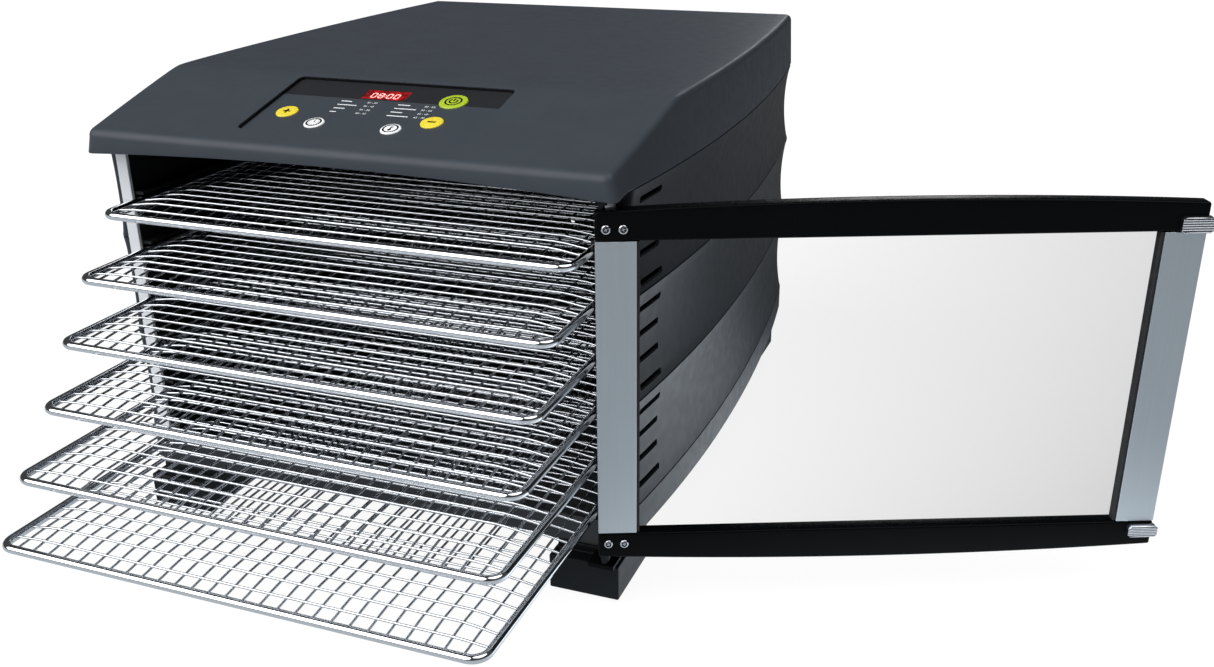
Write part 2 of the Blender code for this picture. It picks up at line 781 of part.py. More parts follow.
def chamber_half():
    return TRAY_W / 2.0 + SIDE_PLAY


def liner_profile():
    """Section of the right liner: a plate with a ledge under and a guide over each tray."""
    x0 = chamber_half()
    low = PAN_TOP + GAP
    high = CEILING_Z - GAP
    pts = [(x0 + LINER_T, low), (x0 + LINER_T, high), (x0, high)]
    for k in range(TRAYS):
        z = tray_z(k)
        guide = z + TRAY_ROD + GUIDE_PLAY
        ledge = z - TRAY_ROD - GAP
        pts += [(x0, guide + LEDGE_T), (x0 - GUIDE_W, guide + LEDGE_T),
                (x0 - GUIDE_W, guide), (x0, guide), (x0, ledge),
                (x0 - LEDGE_W, ledge), (x0 - LEDGE_W, ledge - LEDGE_T),
                (x0, ledge - LEDGE_T)]
    pts.append((x0, low))
    return pts


def build_chamber(root):
    for name, flip in (("side_liner_right", False), ("side_liner_left", True)):
        bm = extrude(liner_profile(), "y", LINER_FRONT, CHAMBER_D)
        bmesh.ops.triangulate(bm, faces=[f for f in bm.faces if len(f.verts) > 4])
        if flip:
            mirrored(bm)
        node_from(name, bm, "inner", root)
    x0 = chamber_half() + 0.0003
    x1 = wall_path()[0][0] - 2 * GAP
    for name, s in (("front_post_right", 1.0), ("front_post_left", -1.0)):
        a, b = sorted((s * x0, s * x1))
        post = box(a, b, LINER_FRONT - GAP - POST_T, LINER_FRONT - GAP, PAN_TOP + GAP,
                   LIP_BOTTOM + 0.004)
        node_from(name, post, "bright", root)


def build_ceiling(root):
    x, y = door_axis()
    front = LIP_Y + SHEET + GAP
    back = CHAMBER_D + GAP + BAFFLE_T
    w = x + PIN_R + 0.0027
    snip = 0.0025
    pts = [(-w + snip, front), (w - snip, front), (w, front + snip), (w, back),
           (-w, back), (-w, front + snip)]
    plate = extrude(pts, "z", CEILING_Z, CEILING_Z + CEILING_T)
    hole = drum(PIN_R + GAP, CEILING_Z - 0.004, CEILING_Z + 0.008, 16,
                Matrix.Translation((x, y, 0)))
    return node_from("ceiling_panel", cut(plate, [hole]), "inner", root)


def build_baffle(root):
    y0 = CHAMBER_D + GAP
    w = chamber_half() + LINER_T - GAP
    plate = box(-w, w, y0, y0 + BAFFLE_T, PAN_TOP + GAP, CEILING_Z - GAP)
    slots = []
    pitch = 0.0115
    for k in range(-6, 7):
        x = k * pitch
        reach = math.sqrt(max(0.0, GRILLE_R ** 2 - x * x))
        for z0, z1 in ((FAN_Z - reach, FAN_Z - 0.004), (FAN_Z + 0.004, FAN_Z + reach)):
            slots.append(box(x - 0.0035, x + 0.0035, y0 - 0.005, y0 + 0.008, z0, z1))
    return node_from("rear_baffle", cut(plate, slots), "sheet", root)


# ==== trays ========================================================================
def tray_path(x0, x1, y0, y1):
    """Rounded rectangle of the rim rod's axis, with a direction at every point."""
    r = TRAY_CORNER
    pts = []
    for cx, cy, a in ((x1 - r, y0 + r, -90), (x1 - r, y1 - r, 0),
                      (x0 + r, y1 - r, 90), (x0 + r, y0 + r, 180)):
        pts += corner_arc(cx, cy, r, a, a + 90, 4)
    return pts


def ring_tube(points, z, radius, sides, phase=0.5):
    """Closed tube along a level plan loop."""
    p = np.array(points)
    t = np.roll(p, -1, axis=0) - np.roll(p, 1, axis=0)
    n = np.stack([t[:, 1], -t[:, 0]], axis=1)
    n /= np.linalg.norm(n, axis=1)[:, None]
    bm = bmesh.new()
    rings = []
    for q, d in zip(p, n):
        ring = []
        for k in range(sides):
            a = 2.0 * math.pi * (k + phase) / sides
            c = radius / math.cos(math.pi / sides) * math.cos(a)
            s = radius / math.cos(math.pi / sides) * math.sin(a)
            ring.append(bm.verts.new((q[0] + d[0] * c, q[1] + d[1] * c, z + s)))
        rings.append(ring)
    for a, b in zip(rings, rings[1:] + rings[:1]):
        for k in range(sides):
            m = (k + 1) % sides
            bm.faces.new((a[k], b[k], b[m], a[m]))
    return solid(bm)


def tray_mesh():
    half = TRAY_W / 2.0 - TRAY_ROD / math.cos(math.pi / 6)
    rim = ring_tube(tray_path(-half, half, 0.0, TRAY_D - 2 * TRAY_ROD), 0.0, TRAY_ROD, 6,
                    0.0)
    depth = TRAY_D - 2 * TRAY_ROD
    w = TRAY_WIRE
    bars = []
    for k in range(TRAY_BARS_X):
        x = -half + 2 * half * (k + 1) / (TRAY_BARS_X + 1)
        bars.append(box(x - w, x + w, 0.0003, depth - 0.0003, -w * 0.2, w * 1.8))
    for k in range(TRAY_BARS_Y):
        y = depth * (k + 1) / (TRAY_BARS_Y + 1)
        bars.append(box(-half + 0.0003, half - 0.0003, y - w, y + w, -w * 1.1, w * 0.9))
    return join(rim, bars)


def build_trays(root):
    for k in range(TRAYS):
        slide = bpy.data.objects.new("tray_%d_slide" % (k + 1), None)
        bpy.context.scene.collection.objects.link(slide)
        slide.parent = root
        slide.location = (0.0, TRAY_HOME_Y - TRAY_OUT[k], tray_z(k))
        node_from("tray_%d" % (k + 1), tray_mesh(), "chrome", slide)


# ==== rear compartment =============================================================
def build_rear(root):
    y1 = BACK_Y - SHEET - GAP
    y0 = y1 - REAR_T
    plate = box(-rear_half(), rear_half(), y0, y1, PAN_TOP + GAP, CEILING_Z - GAP)
    gland_x = GLAND_INBOARD - rear_half()
    holes = []
    for k in range(-5, 6):
        x = k * 0.0115
        reach = math.sqrt(0.065 ** 2 - x * x)
        for z0, z1 in ((FAN_Z - reach, FAN_Z - 0.034), (FAN_Z + 0.034, FAN_Z + reach)):
            if z1 - z0 > 0.006:
                holes.append(box(x - 0.0030, x + 0.0030, y0 - 0.005, y1 + 0.005, z0, z1))
    at = along("y", (gland_x, y0 - 0.004, GLAND_Z))
    holes.append(drum(GLAND_R + GAP, 0.0, 0.012, 20, at))
    node_from("rear_cover", cut(plate, holes), "inner", root)
    profile = ((0.0, -0.004), (0.011, -0.004), (0.011, -GAP), (GLAND_R, -GAP),
               (GLAND_R, REAR_T + GAP), (0.0095, REAR_T + GAP), (0.0095, REAR_T + 0.0045),
               (0.0065, REAR_T + 0.0085), (0.0, REAR_T + 0.0085))
    gland = turned(profile, 20, along("y", (gland_x, y0, GLAND_Z)))
    node_from("cable_gland", gland, "rubber", root, shade=True)


def build_fan(root):
    y_duct = CHAMBER_D + GAP + BAFFLE_T + GAP
    outer = drum(DUCT_R + DUCT_T, 0.0, DUCT_D, 40, along("y", (0.0, y_duct, FAN_Z)))
    bore = drum(DUCT_R, -0.005, DUCT_D + 0.005, 40, along("y", (0.0, y_duct, FAN_Z)))
    node_from("fan_duct", cut(outer, [bore]), "sheet", root, shade=True)

    y_heat = y_duct + 0.0080
    ring = corner_arc(0.0, 0.0, HEATER_R, 0.0, 360.0 - 360.0 / 28, 28)
    coil = ring_tube(ring, 0.0, HEATER_TUBE, 8)
    arms = []
    for a in (90.0, 210.0, 330.0):
        arm = box(HEATER_R - 0.001, DUCT_R * math.cos(math.pi / 40) - GAP, -HEATER_ARM, HEATER_ARM,
                  -HEATER_ARM, HEATER_ARM)
        arm.transform(Matrix.Rotation(math.radians(a), 4, "Z"))
        arms.append(arm)
    coil = join(coil, arms)
    coil.transform(along("y", (0.0, y_heat, FAN_Z)))
    node_from("heater_element", coil, "heater", root)

    spin = bpy.data.objects.new("fan_spin", None)
    bpy.context.scene.collection.objects.link(spin)
    spin.parent = root
    spin.location = (0.0, FAN_Y, FAN_Z)
    hub = drum(FAN_HUB, -FAN_D / 2, FAN_D / 2, 24)
    blades = [fan_blade(k) for k in range(FAN_BLADES)]
    bore = drum(SHAFT_R + GAP, -FAN_D, FAN_D / 2 - 0.003, 16,
                Matrix.Rotation(math.pi, 4, "X"))
    rotor = cut(join(hub, blades), [bore])
    rotor.transform(along("y", (0.0, 0.0, 0.0)))
    node_from("fan_impeller", rotor, "sheet", spin, shade=True)

    y_motor = FAN_Y + FAN_D / 2 + 0.0050
    shaft0 = -(FAN_D + 0.0050) + 0.0030 + GAP
    profile = ((0.0, shaft0), (SHAFT_R, shaft0), (SHAFT_R, -0.0015), (0.009, -0.0015),
               (0.009, 0.0), (MOTOR_R - 0.002, 0.0), (MOTOR_R, 0.002),
               (MOTOR_R, MOTOR_D - 0.002), (MOTOR_R - 0.002, MOTOR_D), (0.0, MOTOR_D))
    motor = turned(profile, 28, along("y", (0.0, y_motor, FAN_Z)))
    node_from("fan_motor", motor, "motor", root, shade=True)

    y_plate = y_motor + MOTOR_D + GAP
    y_end = BACK_Y - SHEET - GAP - REAR_T - GAP
    plate = drum(MOTOR_R, y_plate, y_plate + 0.002, 28)
    plate.transform(along("y", (0.0, 0.0, FAN_Z)))
    legs = []
    for a in (45.0, 135.0, 225.0, 315.0):
        x = 0.023 * math.cos(math.radians(a))
        z = FAN_Z + 0.023 * math.sin(math.radians(a))
        legs.append(drum(0.0035, y_plate + 0.001, y_end, 10, along("y", (x, 0.0, z))))
    node_from("motor_bracket", join(plate, legs), "sheet", root)

    cutout = turned(((0.0, 0.0), (0.0085, 0.0), (0.0085, 0.004), (0.0065, 0.009),
                     (0.0, 0.009)), 20, along("y", (0.105, y_duct, FAN_Z + 0.063)))
    node_from("thermal_cutout", cutout, "white", root)


def fan_blade(k):
    """One pitched blade: a thin twisted plate from the hub to the tip circle."""
    bm = bmesh.new()
    stations = []
    for r, turn, chord in ((FAN_HUB - 0.003, 38.0, 0.013), (0.045, 30.0, 0.030),
                           (FAN_R, 24.0, 0.038)):
        c = math.cos(math.radians(turn)) * chord / 2.0
        s = math.sin(math.radians(turn)) * chord / 2.0
        s = min(s, FAN_D / 2 - 0.0012)
        t = 0.0008
        stations.append([bm.verts.new((r, -c, -s - t)), bm.verts.new((r, c, s - t)),
                         bm.verts.new((r, c, s + t)), bm.verts.new((r, -c, -s + t))])
    for a, b in zip(stations, stations[1:]):
        for i in range(4):
            j = (i + 1) % 4
            bm.faces.new((a[i], a[j], b[j], b[i]))
    bm.faces.new(stations[0][::-1])
    bm.faces.new(stations[-1])
    solid(bm)
    bmesh.ops.triangulate(bm, faces=bm.faces)
    bm.transform(Matrix.Rotation(2.0 * math.pi * k / FAN_BLADES, 4, "Z"))
    return bm


# ==== door =========================================================================
def rail_edge(u, base, end, arch):
    """Height of a rail's arched outer edge at distance u from the axis."""
    mid = (door_reach() - DOOR_HEEL) / 2.0
    half = (door_reach() + DOOR_HEEL) / 2.0
    return base + end + arch * (1.0 - ((u - mid) / half) ** 2)


def rail_mesh(sign, base, end, arch):
    """Arched rail along local X; sign +1 for the top rail, -1 for the bottom rail."""
    reach = door_reach()
    us = np.linspace(-DOOR_HEEL, reach, 15)
    outline = [(u, base + sign * (rail_edge(u, 0.0, end, arch))) for u in us]
    outline += [(reach, base), (-DOOR_HEEL, base)]
    bm = extrude(outline, "y", -DOOR_OUT, DOOR_IN)
    bmesh.ops.triangulate(bm, faces=[f for f in bm.faces if len(f.verts) > 4])
    a, b = sorted((base - sign * 0.003, base + sign * (RAIL_BITE + GAP)))
    groove = box(-DOOR_HEEL + GLASS_INSET - GAP, reach - GLASS_INSET + GAP,
                 GLASS_OUT - GAP, GLASS_IN + GAP, a, b)
    tip = base + sign * end
    a, b = sorted((tip + sign * 0.02, tip - sign * (PIN_DEEP + GAP)))
    hole = drum(PIN_R + GAP, a, b, 16)
    tools = [groove, hole]
    middle = base + sign * end / 2.0 - sign * 0.0005
    for u in SCREW_U:
        at = along("y", (u, DOOR_IN, middle))
        tools.append(drum(SCREW_SHANK + GAP, -SCREW_LONG - GAP, 0.002, 12, at))
    return cut(bm, tools), middle


def build_door(root):
    x, y = door_axis()
    hinge = bpy.data.objects.new("door_hinge", None)
    bpy.context.scene.collection.objects.link(hinge)
    hinge.parent = root
    # shut, the door's local +X runs to the body's -X and its inner face to +Y
    turn = Matrix.Rotation(math.radians(DOOR_OPEN_DEG), 4, "Z")
    flip = Matrix.Diagonal((-1.0, 1.0, 1.0, 1.0))
    hinge.matrix_basis = Matrix.Translation((x, y, 0.0)) @ turn

    def put(name, bm, finish, shade=False):
        bm.transform(flip)
        bmesh.ops.reverse_faces(bm, faces=bm.faces)
        return node_from(name, bm, finish, hinge, shade)

    rails = (("top", 1.0, TOP_RAIL_Z, TOP_RAIL_END, TOP_RAIL_ARCH),
             ("bottom", -1.0, LOW_RAIL_Z, LOW_RAIL_END, LOW_RAIL_ARCH))
    for word, sign, base, end, arch in rails:
        bm, middle = rail_mesh(sign, base, end, arch)
        put("door_rail_" + word, bm, "black", True)
        for k, u in enumerate(SCREW_U):
            profile = ((0.0, -SCREW_LONG), (SCREW_SHANK, -SCREW_LONG), (SCREW_SHANK, GAP),
                       (SCREW_R, GAP), (SCREW_R, SCREW_HEAD - 0.0004),
                       (SCREW_R - 0.0005, SCREW_HEAD), (0.0, SCREW_HEAD))
            screw = turned(profile, 16, along("y", (u, DOOR_IN, middle)))
            put("door_screw_%s_%d" % (word, k + 1), screw, "chrome", True)
        build_pin(word, sign, base + sign * rail_edge(PIN_COLLAR, 0.0, end, arch), put)
        z0 = base + sign * 0.0005
        z1 = z0 + sign * LUG_H
        put("door_catch_" + word, catch_mesh(min(z0, z1), max(z0, z1)), "bright")

    low = LOW_RAIL_Z + GAP
    high = TOP_RAIL_Z - GAP
    put("door_strip_hinge", box(-DOOR_HEEL, -DOOR_HEEL + STRIP_W, STRIP_BACK, DOOR_IN,
                                low, high), "aluminium")
    reach = door_reach()
    put("door_strip_free", box(reach - STRIP_W, reach, STRIP_BACK, DOOR_IN, low, high),
        "aluminium")
    put("door_glass", box(-DOOR_HEEL + GLASS_INSET, reach - GLASS_INSET, GLASS_OUT,
                          GLASS_IN, LOW_RAIL_Z - RAIL_BITE, TOP_RAIL_Z + RAIL_BITE), "glass")


def catch_mesh(z0, z1):
    """Ribbed block on the free corner of the door: a flat back and ridged face."""
    u1 = door_reach() + LUG_PROUD
    u0 = u1 - LUG_W
    v0 = DOOR_IN + GAP
    v1 = v0 + LUG_T
    pts = [(v0, z0), (v0, z1)]
    step = (z1 - z0) / LUG_RIBS
    for k in range(LUG_RIBS):
        top = z1 - k * step
        pts += [(v1 - 0.0008, top), (v1, top - 0.25 * step), (v1, top - 0.75 * step)]
    pts.append((v1 - 0.0008, z0))
    return extrude(pts, "x", u0, u1)


def build_pin(word, sign, tip, put):
    """Hinge pin: a shaft let into the rail, a collar, and a spigot for its seat."""
    collar = PIN_COLLAR
    if sign > 0:
        seat = CEILING_Z - GAP
        end = CEILING_Z + 0.0022
    else:
        seat = TOE_TOP + GAP + BRACKET_T + GAP
        end = TOE_TOP + 2 * GAP
    root_end = tip - sign * PIN_DEEP
    profile = ((0.0, root_end), (PIN_R, root_end), (PIN_R, tip + sign * GAP),
               (collar, tip + sign * GAP), (collar, seat), (PIN_R, seat), (PIN_R, end),
               (0.0, end))
    put("hinge_pin_" + word, turned(profile, 16), "chrome", True)


# ==== whole ========================================================================
def centre_root(root):
    """Move the root so the whole stands with its box's bottom centre at the origin."""
    bpy.context.view_layer.update()
    low = Vector((1e9, 1e9, 1e9))
    high = Vector((-1e9, -1e9, -1e9))
    for item in bpy.data.objects:
        if item.type != "MESH":
            continue
        for v in item.data.vertices:
            p = item.matrix_world @ v.co
            low = Vector(map(min, low, p))
            high = Vector(map(max, high, p))
    root.location = (-(low.x + high.x) / 2.0, -(low.y + high.y) / 2.0, -low.z)
    bpy.context.view_layer.update()


def main():
    clear_scene()
    root = bpy.data.objects.new("dehydrator", None)
    bpy.context.scene.collection.objects.link(root)
    frame = panel_frame()
    build_hood(root, frame)
    build_panel(root, frame)
    build_window(root, frame)
    for name in BUTTONS:
        build_button(name, root, frame)
    build_walls(root)
    build_pan(root)
    build_feet(root)
    build_hinge_bracket(root)
    build_chamber(root)
    build_ceiling(root)
    build_baffle(root)
    build_trays(root)
    build_rear(root)
    build_fan(root)
    build_door(root)
    centre_root(root)


main()
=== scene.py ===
"""Looks of the tabletop food dehydrator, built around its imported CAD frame.

Lengths are metres. Body coordinates run from the centre line (X), from the chamber's
mouth towards the back (Y) and from the ground (Z); `Site` moves them into the frame.
"""

import logging
import math
from dataclasses import dataclass, field
from enum import Enum

import bmesh
import bpy
import numpy as np
from mathutils import Matrix, Vector


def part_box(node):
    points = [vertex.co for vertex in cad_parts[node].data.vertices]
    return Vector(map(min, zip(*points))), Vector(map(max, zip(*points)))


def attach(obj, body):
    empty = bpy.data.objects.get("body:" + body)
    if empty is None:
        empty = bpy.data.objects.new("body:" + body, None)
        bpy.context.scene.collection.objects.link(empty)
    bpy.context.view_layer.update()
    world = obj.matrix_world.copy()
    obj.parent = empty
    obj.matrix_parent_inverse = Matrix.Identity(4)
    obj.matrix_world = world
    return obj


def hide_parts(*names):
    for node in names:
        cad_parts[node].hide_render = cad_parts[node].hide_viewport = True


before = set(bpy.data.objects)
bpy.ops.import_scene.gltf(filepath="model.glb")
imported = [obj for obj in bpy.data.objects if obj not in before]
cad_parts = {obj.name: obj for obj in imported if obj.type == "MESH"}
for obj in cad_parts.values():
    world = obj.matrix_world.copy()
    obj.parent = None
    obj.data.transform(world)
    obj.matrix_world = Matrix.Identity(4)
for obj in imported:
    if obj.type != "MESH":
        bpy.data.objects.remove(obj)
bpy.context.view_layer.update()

LOG = logging.getLogger("dehydrator")

Array = np.ndarray
Colour = tuple[float, float, float]

GAP = 0.0003
SHEET = 0.0025


class Body(Enum):
    """CAD bodies that pieces ride on."""

    SHELL = "body"
    DOOR = "door"


# ---- surfaces ---------------------------------------------------------------------
@dataclass
class Shape:
    """Points and faces of a surface before it becomes an object."""

    points: Array
    faces: list

    def moved(self, by: Array) -> "Shape":
        """The same surface shifted by a vector."""
        return Shape(self.points + np.asarray(by), self.faces)

    def mapped(self, matrix: Matrix) -> "Shape":
        """The same surface after a 4 by 4 matrix."""
        m = np.array(matrix)
        return Shape(self.points @ m[:3, :3].T + m[:3, 3], self.faces)

    def mirrored(self) -> "Shape":
        """The surface's mirror image across the centre plane, faces turned back out."""
        return Shape(self.points * (-1.0, 1.0, 1.0), [tuple(f)[::-1] for f in self.faces])


def merged(*shapes: Shape) -> Shape:
    """Several surfaces in one.

    Args:
        shapes: surfaces to put together.

    Returns:
        One surface; the faces' numbers go up by the points that came before.
    """
    faces, count = [], 0
    for shape in shapes:
        faces += [tuple(i + count for i in f) for f in shape.faces]
        count += len(shape.points)
    return Shape(np.concatenate([s.points for s in shapes]), faces)


def grid(points: Array, wrap_u: bool = False, wrap_v: bool = False) -> Shape:
    """Quads over a grid of points: cell (i, j) joins rows i, i+1 and columns j, j+1.

    Args:
        points: grid of shape (rows, columns, 3).
        wrap_u: join the last row to the first.
        wrap_v: join the last column to the first.

    Returns:
        The surface.
    """
    rows, cols = points.shape[:2]
    ids = np.arange(rows * cols).reshape(rows, cols)
    ids = np.concatenate([ids, ids[:1]]) if wrap_u else ids
    ids = np.concatenate([ids, ids[:, :1]], axis=1) if wrap_v else ids
    quads = np.stack([ids[:-1, :-1], ids[1:, :-1], ids[1:, 1:], ids[:-1, 1:]], axis=-1)
    return Shape(points.reshape(-1, 3), [tuple(q) for q in quads.reshape(-1, 4).tolist()])


def loft(rings: Array, capped: bool = True) -> Shape:
    """Closed rings joined in order, with a flat face over each end.

    Args:
        rings: points of shape (rings, points around, 3).
        capped: whether the two ends are closed.

    Returns:
        The surface.
    """
    shape = grid(rings, wrap_v=True)
    count, around = rings.shape[:2]
    if capped:
        shape.faces.append(tuple(range(around)))
        shape.faces.append(tuple(range((count - 1) * around, count * around))[::-1])
    return shape


def unit(vectors: Array) -> Array:
    """Vectors divided by their lengths, along the last axis."""
    return vectors / np.linalg.norm(vectors, axis=-1, keepdims=True)


def tubes(paths: Array, radius: float, sides: int, up: Array, closed: bool = False) -> Shape:
    """Round rods along paths: each point's circle is radius (cos a, sin a) on two normals.

    Args:
        paths: axis points of shape (rods, stations, 3).
        radius: radius of the rod.
        sides: points around a circle.
        up: a direction never parallel to a path, which sets the first normal.
        closed: whether each path is a loop.

    Returns:
        All rods as one surface, with end faces on open ones.
    """
    if closed:
        ahead = np.roll(paths, -1, axis=1) - np.roll(paths, 1, axis=1)
    else:
        ahead = np.gradient(paths, axis=1)
    ahead = unit(ahead)
    across = unit(np.cross(ahead, np.asarray(up, float)))
    over = np.cross(across, ahead)
    angle = 2.0 * np.pi * np.arange(sides) / sides
    circle = (np.cos(angle)[:, None] * across[:, :, None, :]
              + np.sin(angle)[:, None] * over[:, :, None, :])
    points = paths[:, :, None, :] + radius * circle
    rods, stations = paths.shape[:2]
    one = grid(points[0], wrap_u=closed, wrap_v=True)
    if not closed:
        one.faces.append(tuple(range(sides)))
        one.faces.append(tuple(range((stations - 1) * sides, stations * sides))[::-1])
    step = stations * sides
    faces = [tuple(i + step * k for i in f) for k in range(rods) for f in one.faces]
    return Shape(points.reshape(-1, 3), faces)


def revolved(profile: Array, segments: int) -> Shape:
    """Profile of (radius, height) pairs turned about Z: x = r cos a, y = r sin a, z = h.

    Args:
        profile: pairs from the lower axis point out and up to the upper axis point.
        segments: points around.

    Returns:
        The turned surface; its axis points are closed when doubles are merged.
    """
    profile = np.asarray(profile, float)
    angle = 2.0 * np.pi * np.arange(segments) / segments
    radius, height = profile[:, :1], profile[:, 1:]
    rings = np.stack([radius * np.cos(angle), radius * np.sin(angle),
                      height + 0.0 * angle], axis=-1)
    return grid(rings, wrap_v=True)


def rounded_rectangle(x0: float, x1: float, y0: float, y1: float, r: float,
                      steps: int = 5) -> Array:
    """Loop of a rectangle with round corners: four quarter arcs about inset centres.

    Args:
        x0: low side across.
        x1: high side across.
        y0: low side along.
        y1: high side along.
        r: corner radius.
        steps: points on each arc.

    Returns:
        Points of shape (4 * steps, 2), anticlockwise.
    """
    centres = np.array([(x1 - r, y0 + r), (x1 - r, y1 - r), (x0 + r, y1 - r), (x0 + r, y0 + r)])
    start = np.radians([-90.0, 0.0, 90.0, 180.0])
    angle = start[:, None] + np.linspace(0.0, np.pi / 2, steps)
    arcs = centres[:, None] + r * np.stack([np.cos(angle), np.sin(angle)], axis=-1)
    return arcs.reshape(-1, 2)


def prism(loop: Array, z0: float, z1: float) -> Shape:
    """A flat outline carried from one height to another."""
    low = np.column_stack([loop, np.full(len(loop), z0)])
    high = np.column_stack([loop, np.full(len(loop), z1)])
    return loft(np.stack([low, high]))


def block(x0: float, x1: float, y0: float, y1: float, z0: float, z1: float) -> Shape:
    """A plain box between two corners."""
    return prism(np.array([(x0, y0), (x1, y0), (x1, y1), (x0, y1)]), z0, z1)


def arc_band(r0: float, r1: float, start: float, end: float, z0: float, z1: float,
             steps: int = 36) -> Shape:
    """Part of a flat ring between two radii and two angles in degrees.

    Args:
        r0: inner radius.
        r1: outer radius.
        start: first angle.
        end: last angle.
        z0: lower height.
        z1: upper height.
        steps: stations along the arc.

    Returns:
        The closed band; a full turn becomes a ring when doubles are merged.
    """
    angle = np.radians(np.linspace(start, end, steps))
    section = np.array([(r0, z0), (r1, z0), (r1, z1), (r0, z1)])
    points = np.stack([np.cos(angle)[:, None] * section[:, 0],
                       np.sin(angle)[:, None] * section[:, 0],
                       np.broadcast_to(section[:, 1], (steps, 4))], axis=-1)
    return loft(points, capped=abs(end - start) < 359.9)


# ---- finishes ---------------------------------------------------------------------
class Wiring:
    """Builds one material's nodes around its Principled shader."""

    def __init__(self, name: str) -> None:
        """Starts a material.

        Args:
            name: the material's name.
        """
        self.material = bpy.data.materials.new(name)
        self.material.use_nodes = True
        self.tree = self.material.node_tree
        self.shader = self.tree.nodes["Principled BSDF"]
        self.place = self.add("ShaderNodeTexCoord").outputs["Object"]

    def add(self, kind: str, **settings: object) -> bpy.types.Node:
        """A new node with some of its settings."""
        node = self.tree.nodes.new(kind)
        for key, value in settings.items():
            setattr(node, key, value)
        return node

    def join(self, source: object, target: object) -> None:
        """Links a socket, or sets a plain value, on a target socket."""
        if isinstance(source, bpy.types.NodeSocket):
            self.tree.links.new(source, target)
        else:
            target.default_value = source

    def set(self, socket: str, source: object) -> None:
        """Sets or links an input of the shader."""
        if isinstance(source, tuple) and len(source) == 3:
            source = (*source, 1.0)
        self.join(source, self.shader.inputs[socket])

    def stretched(self, scale: tuple[float, float, float]) -> bpy.types.NodeSocket:
        """Object coordinates multiplied along each axis."""
        node = self.add("ShaderNodeMapping")
        self.join(self.place, node.inputs["Vector"])
        node.inputs["Scale"].default_value = scale
        return node.outputs["Vector"]

    def noise(self, scale: float, detail: float = 2.0, rough: float = 0.5,
              vector: object = None) -> bpy.types.NodeSocket:
        """Noise over the piece.

        Args:
            scale: features per metre.
            detail: finer layers.
            rough: share of each finer layer.
            vector: coordinates, or None for plain Object coordinates.

        Returns:
            The noise's value, 0 to 1.
        """
        node = self.add("ShaderNodeTexNoise")
        self.join(vector or self.place, node.inputs["Vector"])
        node.inputs["Scale"].default_value = scale
        node.inputs["Detail"].default_value = detail
        node.inputs["Roughness"].default_value = rough
        return node.outputs["Fac"]

    def ranged(self, value: bpy.types.NodeSocket, low: float, high: float, out_low: float,
               out_high: float) -> bpy.types.NodeSocket:
        """A value taken from one range to another, held at the ends."""
        node = self.add("ShaderNodeMapRange")
        self.join(value, node.inputs["Value"])
        for key, number in (("From Min", low), ("From Max", high), ("To Min", out_low),
                            ("To Max", out_high)):
            node.inputs[key].default_value = number
        return node.outputs["Result"]

    def mixed(self, share: object, first: object, second: object) -> bpy.types.NodeSocket:
        """Two colours mixed by a share."""
        node = self.add("ShaderNodeMix", data_type="RGBA")
        self.join(share, node.inputs[0])
        for source, socket in ((first, node.inputs[6]), (second, node.inputs[7])):
            if isinstance(source, tuple) and len(source) == 3:
                source = (*source, 1.0)
            self.join(source, socket)
        return node.outputs[2]

    def axis(self, letter: str) -> bpy.types.NodeSocket:
        """One of the Object coordinates."""
        node = self.add("ShaderNodeSeparateXYZ")
        self.join(self.place, node.inputs[0])
        return node.outputs[letter]

    def relief(self, height: bpy.types.NodeSocket, depth: float, strength: float = 1.0,
               under: object = None) -> bpy.types.NodeSocket:
        """Bump from a height of 0 to 1 and its depth in metres.

        Args:
            height: the height socket.
            depth: real depth of the relief.
            strength: share of the bump used.
            under: another bump that this one adds to.

        Returns:
            The normal.
        """
        node = self.add("ShaderNodeBump")
        self.join(height, node.inputs["Height"])
        node.inputs["Distance"].default_value = depth
        node.inputs["Strength"].default_value = strength
        if under is not None:
            self.join(under, node.inputs["Normal"])
        return node.outputs["Normal"]


@dataclass(frozen=True)
class Moulded:
    """Moulded plastic with a fine spark-eroded grain and slight mottling."""

    name: str
    slot: str
    colour: Colour
    rough: float = 0.45
    grain: float = 0.0006
    depth: float = 0.00006
    mottle: float = 0.12
    coat: float = 0.0
    specular: float = 0.5

    def tint(self, w: Wiring) -> object:
        """Base colour before mottling; other mouldings may change it by place."""
        return self.colour

    def make(self) -> bpy.types.Material:
        """The material."""
        w = Wiring(self.name)
        cloud = w.noise(38.0, 3.0)
        dark = tuple(c * (1.0 - self.mottle) for c in self.colour)
        base = self.tint(w)
        if base == self.colour:
            w.set("Base Color", w.mixed(w.ranged(cloud, 0.3, 0.7, 0.0, 1.0), dark, base))
        else:
            w.set("Base Color", base)
        fine = w.noise(1.0 / self.grain, 2.0, 0.6)
        wide = w.noise(120.0, 2.0)
        w.set("Roughness", w.ranged(wide, 0.25, 0.75, self.rough - 0.04, self.rough + 0.05))
        w.set("Normal", w.relief(fine, self.depth))
        w.set("Coat Weight", self.coat)
        w.set("Coat Roughness", 0.08)
        w.set("Specular IOR Level", self.specular)
        return w.material


@dataclass(frozen=True)
class BandedPanel(Moulded):
    """Printed control panel: slate with a darker band along its rear edge."""

    band: Colour = (0.016, 0.018, 0.021)
    from_y: float = 0.0

    def tint(self, w: Wiring) -> object:
        """Slate in front of the band's edge and the darker colour behind it."""
        share = w.ranged(w.axis("Y"), self.from_y - 0.00005, self.from_y + 0.00005, 0.0, 1.0)
        return w.mixed(share, self.colour, self.band)


